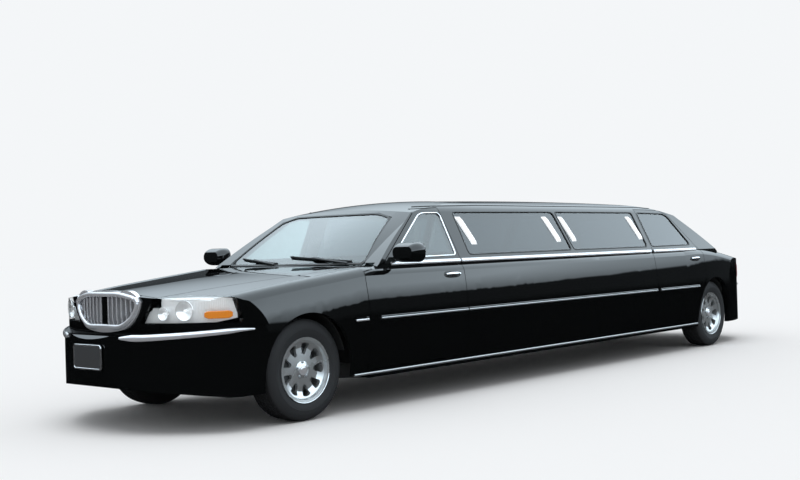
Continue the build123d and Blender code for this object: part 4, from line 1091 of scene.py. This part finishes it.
@dataclass(frozen=True)
class FrontEnd(Fitted):
    """The mesh behind the grille, the faces on its bars and surround, and a blank plate at either end.

    Args:
        shield: (y, height) corners of the grille.
        mesh_station: where the mesh stands.
        bar_step: distance between the bars.
        outermost: distance of the outermost bar from the centre plane.
        bar_ends: heights of the middle bars' two ends.
        cover: (across, outwards) section of the centre bar's cover.
        cover_ends: heights of its two ends.
        plate_size: width and height of a plate.
        front_plate: station and height of the front plate.
        rear_plate: the same of the rear plate.
    """

    shield: Outline = (
        (-0.205, 0.676), (0.205, 0.676), (0.318, 0.752), (0.368, 0.856), (0.338, 0.896),
        (0.180, 0.926), (-0.180, 0.926), (-0.338, 0.896), (-0.368, 0.856), (-0.318, 0.752),
    )  # fmt: skip
    mesh_station: float = -0.921
    bar_step: float = 0.045
    outermost: float = 0.27
    bar_ends: Vec2 = (0.720, 0.918)
    cover: Outline = ((0.033, -0.002), (0.033, 0.001), (0.022, 0.0045), (0, 0.006), (-0.022, 0.0045),
                      (-0.033, 0.001), (-0.033, -0.002))  # fmt: skip
    cover_ends: Vec2 = (0.702, 0.898)
    plate_size: Vec2 = (0.305, 0.152)
    front_plate: Vec2 = (-1.1165, 0.503)
    rear_plate: Vec2 = (7.352, 0.476)

    def build(self) -> None:
        """Makes the mesh, the bright faces, the centre bar's cover and the plates."""
        skin = Skin(self.nodes, "grille")
        shield = np.array(self.shield)
        middle = shield.mean(0)
        loop = rounded_loop(middle + (shield - middle) * 0.985, 0.03) - middle
        mesh = layered(loop, [*np.linspace(0, 1, 8), 1, 0], np.repeat((0, 0.006), (8, 2)))
        piece("grille_mesh", mesh.placed((CAR.x(self.mesh_station), *middle), ACROSS, UP, ALONG), MESH)
        ring = rounded_loop(middle + (shield - middle) * (1 - 2 * 0.017 / np.ptp(shield, axis=0)), 0.05)
        surround = swept(*skin.from_end(*ring.T, -1.4), dome_profile(0.033, 0.015), closed=True)
        piece("grille_surround", surround, BRIGHT)
        bars = []
        low, high = self.bar_ends
        count = round(self.outermost / self.bar_step)
        for y in (k * self.bar_step for k in range(-count, count + 1) if k):
            off = (y / self.outermost) ** 2
            path, _ = skin.from_end(y, np.linspace(low + 0.075 * off, high - 0.045 * off, 20), -1.4)
            path[:, 0] = np.median(path[:, 0])
            bars.append(swept(path, (-1.0, 0.0, 0.0), dome_profile(0.013, 0.008)))
        piece("grille_bar_faces", Shape.joined(bars), BRIGHT)
        laid = skin.from_end(0.0, np.linspace(*self.cover_ends, 24), -1.4)
        piece("grille_centre_cover", swept(*laid, np.array(self.cover)), BLACK_PAINT)
        self._plate("front", -1.0, self.front_plate, CHROME)
        self._plate("rear", 1.0, self.rear_plate, PLASTIC)

    def _plate(self, name: str, ahead: float, place: Vec2, rim: Finish) -> None:
        """A blank plate in its frame, facing along ahead * X.

        Args:
            name: front or rear.
            ahead: 1 to face along +X, -1 along -X.
            place: station and height of its middle.
            rim: the frame's finish.
        """
        corners = oblong(self.plate_size[0] / 2, self.plate_size[1] / 2)
        axes = ((CAR.x(place[0]), 0.0, place[1]), (0.0, -ahead, 0.0), UP, (ahead, 0.0, 0.0))
        loop = rounded_loop(corners, 0.012, -0.004, 0.01)
        face = layered(loop, [*np.linspace(0, 1, 4), 1, 0], np.repeat((0.003, -0.002), (4, 2)))
        piece(f"{name}_plate", face.placed(*axes), PLATE)
        path = stacked(*rounded_loop(corners, 0.016, 0.002, 0.01).T, 0.0)
        ring = swept(path, UP, band_profile(0.012, 0.006, 0.002), closed=True)
        piece(f"{name}_plate_frame", ring.placed(*axes), rim)


@dataclass(frozen=True)
class EngineCover:
    """The moulded cover on top of the engine.

    Args:
        stations: where its foot starts and ends on top of the block.
        half_width: half the width of its foot.
        top: height of the block's top.
        rise: height of the cover over the block.
        rib: height of the ribs along its top.
        rib_step: distance between the ribs.
        sunk: how far its foot reaches into the block.
    """

    stations: Vec2 = (-0.168, 0.468)
    half_width: float = 0.273
    top: float = 0.850
    rise: float = 0.026
    rib: float = 0.004
    rib_step: float = 0.05
    sunk: float = 0.006

    def build(self) -> None:
        """Makes the cover: a crowned oblong whose height falls off to its rim, with cosine ribs along it."""
        corners = oblong((self.stations[1] - self.stations[0]) / 2, self.half_width)
        loop = rounded_loop(corners, 0.05, -0.004, 0.01)
        share = np.sin(np.linspace(0, math.pi / 2, 40))[:, None]
        ribs = self.rib * np.cos(2 * math.pi * share * loop[:, 1] / self.rib_step) * (1 - share**6)
        lifts = np.pad(self.rise * (1 - share**8) + ribs, ((0, 2), (0, 0)), constant_values=-self.sunk)
        at = (CAR.x(sum(self.stations) / 2), 0.0, self.top)
        cover = layered(loop, [*share[:, 0], 1, 0.001], lifts).placed(at, ALONG, ACROSS, UP)
        piece("engine_cover", cover, PLASTIC)


@dataclass(frozen=True)
class Headlamp(SideFitted):
    """The inside of a headlamp: a fluted housing, two round reflectors, their bulbs and an amber lens.

    Args:
        depth: how far the housing lies behind the lens.
        bowls: distance from the centre plane, height and radius of each reflector.
        bulb: (radius, distance forwards) section of a bulb.
        amber_turns: where the amber lens starts and ends, in degrees round the nose.
        amber_height: height of its middle.
    """

    depth: float = 0.040
    bowls: tuple[Vec3, ...] = ((0.530, 0.782, 0.042), (0.665, 0.800, 0.062))
    bulb: Outline = ((0, 0.004), (0.006, 0.002), (0.009, -0.006), (0.009, -0.028), (0, -0.028))
    amber_turns: Vec2 = (54.5, 65.5)
    amber_height: float = 0.770

    def build(self) -> None:
        """Makes the pieces of one lamp, on rays cast at its lens from the front corner."""
        skin = Skin(self.nodes, "headlamps")
        self._housing(skin)
        self._bowls(skin)
        turns = -self.side.value * np.linspace(*self.amber_turns, 16)
        path, facing = skin.from_round(CAR.nose, turns, self.amber_height)
        taper = np.interp(np.minimum(np.arange(16), np.arange(16)[::-1]), (0, 2), (0.55, 1.0))
        profile = band_profile(0.050, 0.012, 0.005, 0.0) * taper[:, None, None]
        piece(f"lamp_amber_{self.side.word}", swept(path - 0.022 * facing, facing, profile), AMBER)

    def _housing(self, skin: Skin) -> None:
        """The housing: a sheet behind the lens, from the grille's side to the car's, and its back.

        Args:
            skin: the lens.
        """
        t = np.linspace(0, 1, 44)
        low = np.interp(t, (0, 0.8, 1), (0.717, 0.717, 0.742))
        high = np.interp(t, (0, 0.75, 1), (0.890, 0.896, 0.888))
        rows = []
        for share in np.linspace(0.02, 0.98, 15):
            start = 25.4 + 7.8 * share
            turns = -self.side.value * (start + (67.6 - start) * t)
            laid = skin.from_round(CAR.nose, turns, low + share * (high - low))
            path, facing = (np.pad(part, ((0, len(t) - len(part)), (0, 0)), mode="edge") for part in laid)
            rows.append(path - self.depth * facing * (1, 1, 0.2))
        front = np.array(rows)
        back = front - 0.004 * unit(front[0, 22] - (CAR.x(CAR.nose), 0, 0.8))
        piece(f"lamp_housing_{self.side.word}", closed_pair(front, back), REFLECTOR)

    def _bowls(self, skin: Skin) -> None:
        """The round reflectors, each of parabolic section z = -0.030 + 0.026 r^2, and their bulbs.

        Args:
            skin: the lens.
        """
        bowls, bulbs = [], []
        r = np.linspace(0.02, 1, 12)
        for y, z, radius in self.bowls:
            (at,), (facing,) = skin.from_end(np.array([self.side.value * y]), z, -1.6)
            w = unit(facing * (1, 0.55, 0))
            axes = (unit(np.cross(UP, w)), UP, w)
            inner = stacked(radius * r, -0.030 + 0.026 * r**2)
            outer = [(radius * 1.06, -0.004), (radius * 1.08, -0.008), (radius * 0.6, -0.034), (0.001, -0.036)]
            section = np.vstack([(0, -0.030), inner, outer, (0, -0.036)])
            bowls.append(revolved(section, 48).placed(at - 0.004 * w, *axes))
            bulbs.append(revolved(self.bulb, 24).placed(at - 0.012 * w, *axes))
        piece(f"lamp_bowls_{self.side.word}", Shape.joined(bowls), BOWL)
        piece(f"lamp_bulbs_{self.side.word}", Shape.joined(bulbs), OPAL_LENS)


@dataclass(frozen=True)
class DoorMirror:
    """The glass in the rear face of a door mirror.

    Args:
        side: the side that it is on.
        station: where the rear face is.
        centre: distance from the centre plane and height of the glass.
        size: its width and height.
        rim: how much wider and higher its rim is.
    """

    side: Side
    station: float = 0.932
    centre: Vec2 = (1.093, 1.128)
    size: Vec2 = (0.226, 0.118)
    rim: float = 0.014

    def build(self) -> None:
        """Makes the glass and its dark rim."""
        at = np.array([CAR.x(self.station), self.side.value * self.centre[0], self.centre[1]])
        body, axes = f"door_front_{self.side.word}", (ACROSS, UP, ALONG)
        rim = oval_boss(self.size[0] + self.rim, self.size[1] + self.rim, 0.003, 4.0).placed(at, *axes)
        piece(f"mirror_rim_{self.side.word}", rim, RUBBER, body)
        glass = oval_boss(*self.size, 0.0025, 4.0, 0.001).placed(at + (0.0015, 0, 0), *axes)
        piece(f"mirror_glass_{self.side.word}", glass, MIRROR_GLASS, body)


@dataclass(frozen=True)
class TailTrim(Fitted):
    """Lenses round the rear corners, and the bar and lock of the boot lid.

    Args:
        low: height of the lenses' lower edge.
        high: height of their upper edge.
        on_body: where a lens on the body starts and ends, in degrees from straight back.
        on_lid: the same of a lens on the lid.
        bar: height of the lid's bar.
        bar_half: half its length.
        lock_height: height of the lock.
        lock: (radius, distance outwards) section of the lock.
    """

    low: float = 0.700
    high: float = 0.862
    on_body: Vec2 = (40.2, 53.5)
    on_lid: Vec2 = (20.0, 37.4)
    bar: float = 0.690
    bar_half: float = 0.34
    lock_height: float = 0.775
    lock: Outline = ((0, 0.004), (0.010, 0.004), (0.014, 0.002), (0.014, -0.004), (0, -0.004))

    def build(self) -> None:
        """Makes the lenses, the bar and the lock."""
        lid = Skin(self.nodes, "trunk_lid")
        for side in Side:
            quarter = Skin(self.nodes, f"body_side_{side.word}")
            for label, skin, span, body in (
                ("body", quarter, self.on_body, "body"),
                ("lid", lid, self.on_lid, "trunk_lid"),
            ):
                turns = 180.0 + side.value * np.linspace(*span, 30)
                rows = [skin.from_round(CAR.tail, turns, z) for z in np.linspace(self.low, self.high, 14)]
                lens = blister(*np.swapaxes(rows, 0, 1), 0.009)
                piece(f"tail_lens_{label}_{side.word}", lens, RED_LENS, body)
        laid = lid.from_end(np.linspace(-self.bar_half, self.bar_half, 60), self.bar, 8.0)
        piece("lid_bar", swept(*laid, band_profile(0.030, 0.010, 0.004)), CHROME, "trunk_lid")
        (at,), (out,) = lid.from_end(np.array([0.0]), self.lock_height, 8.0)
        lock = revolved(self.lock, 40).placed(at, ACROSS, unit(np.cross(out, ACROSS)), out)
        piece("lid_lock", lock, CHROME, "trunk_lid")


@dataclass(frozen=True)
class Cushion:
    """One padded cushion with its welt.

    Args:
        name: name of the piece.
        station: station of its middle.
        y: distance of its middle from the centre plane.
        height: height of its middle.
        size: length, width and thickness, along its own axes.
        replaces: the CAD node that it stands for.
        tilt: degrees that it leans back from lying flat.
        turn: degrees that its length is turned about the upright.
        channels: places of the sewn channels along its length, from -1 to 1.
    """

    name: str
    station: float
    y: float
    height: float
    size: Vec3
    replaces: str
    tilt: float = 0.0
    turn: float = 0.0
    channels: tuple[float, ...] = (-0.5, 0.0, 0.5)

    def build(self) -> None:
        """Makes the cushion and its welt."""
        t, r = math.radians(self.tilt), math.radians(self.turn)
        u = np.array([math.cos(t) * math.cos(r), math.cos(t) * math.sin(r), math.sin(t)])
        v = np.array([-math.sin(r), math.cos(r), 0.0])
        axes = ((CAR.x(self.station), self.y, self.height), u, v, np.cross(u, v))
        form = pillow(self.size, 0.35 * self.size[2] / 2, self.channels, self.tilt < 30).placed(*axes)
        made = piece(self.name, form, LEATHER, replaces=(self.replaces,), sharp=80)
        piece(f"{self.name}_welt", welt(self.size).placed(*axes), WELT, replaces=(self.replaces,))


@dataclass(frozen=True)
class Seats:
    """The front seats, the side lounge and the rear bench.

    Args:
        front_y: distance of a front seat's middle from the centre plane.
        lounge: stations of the middles of the lounge's cushions.
        bench: distances of the rear bench's cushions from the centre plane.
    """

    front_y: float = 0.385
    lounge: tuple[float, ...] = (2.985, 3.560, 4.135, 4.710)
    bench: Vec3 = (-0.392, 0.0, 0.392)

    def build(self) -> None:
        """Makes the cushions, backs, head rests and their bases."""
        front, rear = "front_seats", "lounge_seats"
        for side in Side:
            word, y = side.word, side.value * self.front_y
            Cushion(f"front_cushion_{word}", 1.585, y, 0.585, (0.50, 0.48, 0.19), front, 4.0).build()
            Cushion(f"front_back_{word}", 1.845, y, 0.84, (0.40, 0.47, 0.13), front, 106.0).build()
            Cushion(f"head_rest_{word}", 1.93, y, 1.045, (0.09, 0.26, 0.075), front, 106.0, channels=()).build()
            self._base(f"front_seat_base_{word}", (1.585, y, 0.425), (0.46, 0.44, 0.14), front)
        for count, station in enumerate(self.lounge):
            Cushion(f"lounge_cushion_{count}", station, 0.572, 0.675, (0.565, 0.295, 0.16), rear).build()
            Cushion(f"lounge_back_{count}", station, 0.790, 0.880, (0.235, 0.56, 0.11), rear, 100, 90).build()
        self._base("lounge_base", (3.85, 0.640, 0.475), (2.28, 0.43, 0.24), rear)
        for count, y in enumerate(self.bench):
            Cushion(f"bench_cushion_{count}", 5.32, y, 0.675, (0.58, 0.385, 0.15), rear).build()
            Cushion(f"bench_back_{count}", 5.76, y, 0.860, (0.27, 0.385, 0.13), rear, 108.0).build()
        self._base("bench_base", (5.40, 0.0, 0.500), (0.50, 1.14, 0.19), rear)

    @staticmethod
    def _base(name: str, centre: Vec3, size: Vec3, node: str) -> None:
        """A moulded base with rounded edges under a seat: |x / a|^8 + |y / b|^8 + |z / c|^8 = 1.

        Args:
            name: name of the piece.
            centre: station, Y and height of its middle.
            size: its length, width and height.
            node: the CAD node that it stands for.
        """
        lat = np.linspace(-math.pi / 2, math.pi / 2, 33)[:, None]
        lon = np.linspace(0, 2 * math.pi, 64, endpoint=False)
        ray = stacked(np.cos(lat) * np.cos(lon), np.cos(lat) * np.sin(lon), np.sin(lat))
        ray = np.sign(ray) * np.abs(ray) ** 0.8
        reach = (np.abs(ray) ** 8).sum(-1, keepdims=True) ** (-1 / 8)
        points = ray * reach * (np.array(size) / 2) + (CAR.x(centre[0]), *centre[1:])
        piece(name, Shape.grid(points, False, True), PLASTIC, replaces=(node,))


# ---------------------------------------------------------------- the camera and the studio
@dataclass(frozen=True)
class Viewpoint:
    """The camera at the viewing angle that the object is shown from.

    Args:
        place: station, Y and Z of the camera.
        yaw: heading in degrees from +X towards +Y.
        pitch: degrees above the horizon.
        roll: degrees that the camera leans.
        lens: focal length in mm on a 36 mm wide sensor.
    """

    place: Vec3 = (-5.293, -6.504, 1.177)
    yaw: float = 41.62
    pitch: float = 0.30
    roll: float = -1.69
    lens: float = 50.625

    def build(self) -> bpy.types.Object:
        """Makes the camera and sets it as the scene's.

        Returns:
            The camera object.
        """
        data = bpy.data.cameras.new("camera")
        data.lens, data.sensor_width, data.clip_end = self.lens, 36.0, 300.0
        camera = bpy.data.objects.new("camera", data)
        bpy.context.scene.collection.objects.link(camera)
        yaw, pitch, roll = (math.radians(v) for v in (self.yaw, self.pitch, self.roll))
        ahead = np.array([math.cos(pitch) * math.cos(yaw), math.cos(pitch) * math.sin(yaw), math.sin(pitch)])
        right = unit(np.cross(ahead, UP))
        up = np.cross(right, ahead)
        turned = np.eye(4)
        turned[:3, 0] = math.cos(roll) * right + math.sin(roll) * up
        turned[:3, 1] = math.cos(roll) * up - math.sin(roll) * right
        turned[:3, 2] = -ahead
        turned[:3, 3] = (CAR.x(self.place[0]), *self.place[1:])
        camera.matrix_world = Matrix(turned.tolist())
        bpy.context.scene.camera = camera
        LOG.info("camera at %s", tuple(round(v, 3) for v in turned[:3, 3]))
        return camera


@dataclass(frozen=True)
class Studio:
    """Pale floor, pale world, a soft sun, and a wide reflection shell that only glossy surfaces see.

    Args:
        floor_half: half size of the floor.
        floor_colour: colour of the floor.
        pale: colour of the background.
        ambient: strength of the world's light.
        sun: strength of the sun.
        sun_spread: angular size of the sun in degrees.
        sun_way: the way its light falls.
        shell_radius: radius of the reflection shell.
        shell_colour: colour of the shell's glow.
        near_rise: the shell is dark up to this elevation in degrees on the camera's side.
        far_rise: the same on the other side.
    """

    floor_half: float = 90.0
    floor_colour: Vec3 = (0.920, 0.928, 0.935)
    pale: Vec3 = (0.905, 0.923, 0.939)
    ambient: float = 0.74
    sun: float = 1.0
    sun_spread: float = 50.0
    sun_way: Vec3 = (0.12, 0.10, -0.98)
    shell_radius: float = 30.0
    shell_colour: Vec3 = (0.78, 0.91, 1.0)
    near_rise: float = 5.6
    far_rise: float = 10.0

    def build(self) -> None:
        """Makes the floor, the world, the sun and the shell."""
        bpy.context.scene.view_settings.view_transform = "Standard"
        self._floor()
        self._world()
        self._sun()
        self._shell()
        LOG.info("studio")

    def _floor(self) -> None:
        """A wide matt floor."""
        half = self.floor_half
        mesh = bpy.data.meshes.new("floor")
        mesh.from_pydata([(x, y, 0) for x, y in oblong(half, half)], [], [(0, 1, 2, 3)])
        surface = bpy.data.materials.new("floor")
        graph = Graph(surface)
        looks = {"Base Color": (*self.floor_colour, 1.0), "Roughness": 1.0, "Specular IOR Level": 0.0}
        graph.feed(graph.tree.nodes["Principled BSDF"], looks)
        mesh.materials.append(surface)
        floor = bpy.data.objects.new("floor", mesh)
        bpy.context.scene.collection.objects.link(floor)

    def _world(self) -> None:
        """A world that is seen at full strength and gives a softer light of the same colour."""
        world = bpy.data.worlds.new("studio")
        bpy.context.scene.world = world
        graph = Graph(world)
        light = graph.tree.nodes["Background"]
        graph.feed(light, {"Color": (*self.pale, 1.0), "Strength": self.ambient})
        seen = graph.add("Background", {"Color": (*self.pale, 1.0), "Strength": 1.0})
        ray = graph.add("LightPath", {}).node.outputs
        rays = {0: ray["Is Camera Ray"], 1: ray["Is Transmission Ray"]}
        either = graph.add("Math", rays, operation="MAXIMUM")
        mix = graph.add("MixShader", {0: either, 1: light.outputs["Background"], 2: seen})
        graph.feed(graph.tree.nodes["World Output"], {"Surface": mix})

    def _sun(self) -> None:
        """A sun so wide that its shadows are soft, with no image in reflections."""
        sun = bpy.data.lights.new("soft_sun", "SUN")
        sun.energy = self.sun
        sun.angle = math.radians(self.sun_spread)
        lamp = bpy.data.objects.new("soft_sun", sun)
        lamp.rotation_euler = Vector(self.sun_way).to_track_quat("-Z", "Y").to_euler()
        lamp.visible_glossy = False
        bpy.context.scene.collection.objects.link(lamp)

    def _glow(self, elevation: np.ndarray, azimuth: np.ndarray) -> np.ndarray:
        """How brightly the shell glows.

        With n = 0.5 - 0.8 sin(azimuth), kept within 0 and 1 and 1 on the camera's side, the glow is low
        under the rise, then climbs in a straight line from 0.3 + 1.1 n to 3.4 + 0.6 n: over 5 degrees
        on the camera's side and over 36 on the other.  It falls by 0.25 n between 14 and 22 degrees.

        Args:
            elevation: elevation of each point in degrees.
            azimuth: azimuth of each point in radians.

        Returns:
            The glow of each point.
        """
        near = np.clip(0.5 - 0.8 * np.sin(azimuth), 0, 1)
        above = elevation - (self.far_rise + (self.near_rise - self.far_rise) * near)
        climb = np.clip(above / (36 - 31 * near), 0, 1)
        dark = 0.004 + 0.06 * (elevation > 1)
        start, full = 0.3 + 1.1 * near, 3.4 + 0.6 * near
        glow = dark + (start + (full - start) * climb - dark) * np.clip(above / 0.5, 0, 1)
        return glow * (1 - 0.25 * near * np.clip((elevation - 14) / 8, 0, 1))

    def _shell(self) -> None:
        """A bowl with a dark ground and rim under a bright sky, seen in reflections alone."""
        rings = np.concatenate([[-1.0, 0.0, 2.0], np.linspace(3.4, 12.0, 36), np.linspace(13.0, 90, 40)])
        e, a = np.meshgrid(np.radians(rings), np.linspace(0, 2 * math.pi, 97)[:-1], indexing="ij")
        rows = self.shell_radius * stacked(np.cos(e) * np.cos(a), np.cos(e) * np.sin(a), np.sin(e))
        rows[0] = (0.0, 0.0, 0.004)
        rows[1, :, 2] = 0.004
        shape = Shape.grid(rows, False, True)
        mesh = bpy.data.meshes.new("reflection_shell")
        mesh.from_pydata(shape.points.tolist(), [], shape.faces)
        layer = mesh.attributes.new("glow", "FLOAT", "POINT")
        layer.data.foreach_set("value", self._glow(np.degrees(e), a).ravel().astype(np.float32))
        surface = bpy.data.materials.new("reflection_shell")
        graph = Graph(surface)
        graph.tree.nodes.remove(graph.tree.nodes["Principled BSDF"])
        glow = graph.add("Attribute", {}, "Fac", attribute_name="glow")
        shine = graph.add("Emission", {"Color": (*self.shell_colour, 1.0), "Strength": glow})
        graph.feed(graph.tree.nodes["Material Output"], {"Surface": shine})
        surface.cycles.emission_sampling = "NONE"
        mesh.materials.append(surface)
        shell = bpy.data.objects.new("reflection_shell", mesh)
        for flag in ("camera", "diffuse", "transmission", "volume_scatter", "shadow"):
            setattr(shell, f"visible_{flag}", False)
        bpy.context.scene.collection.objects.link(shell)


def main() -> None:
    """Loads the frame and builds each sub-assembly in order."""
    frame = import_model()
    nodes = frame["nodes"]
    Bodywork(nodes, frame["record"]).dress()
    for axle in Axle:
        for side in Side:
            Tyre(axle, side).build()
            WheelTrim(axle, side).build()
    for side in Side:
        SideTrim(nodes, side).build()
        DoorHandle(nodes, side, "door_front", 1.553, 0.945).build()
        DoorHandle(nodes, side, "door_rear", 5.600, 0.955).build()
        Headlamp(nodes, side).build()
        DoorMirror(side).build()
        PillarLamps(nodes, side).build()
    BumperTrim(nodes).build()
    Glazing(nodes).build()
    FrontEnd(nodes).build()
    EngineCover().build()
    TailTrim(nodes).build()
    Seats().build()
    Viewpoint().build()
    Studio().build()


if __name__ == "__main__":
    main()
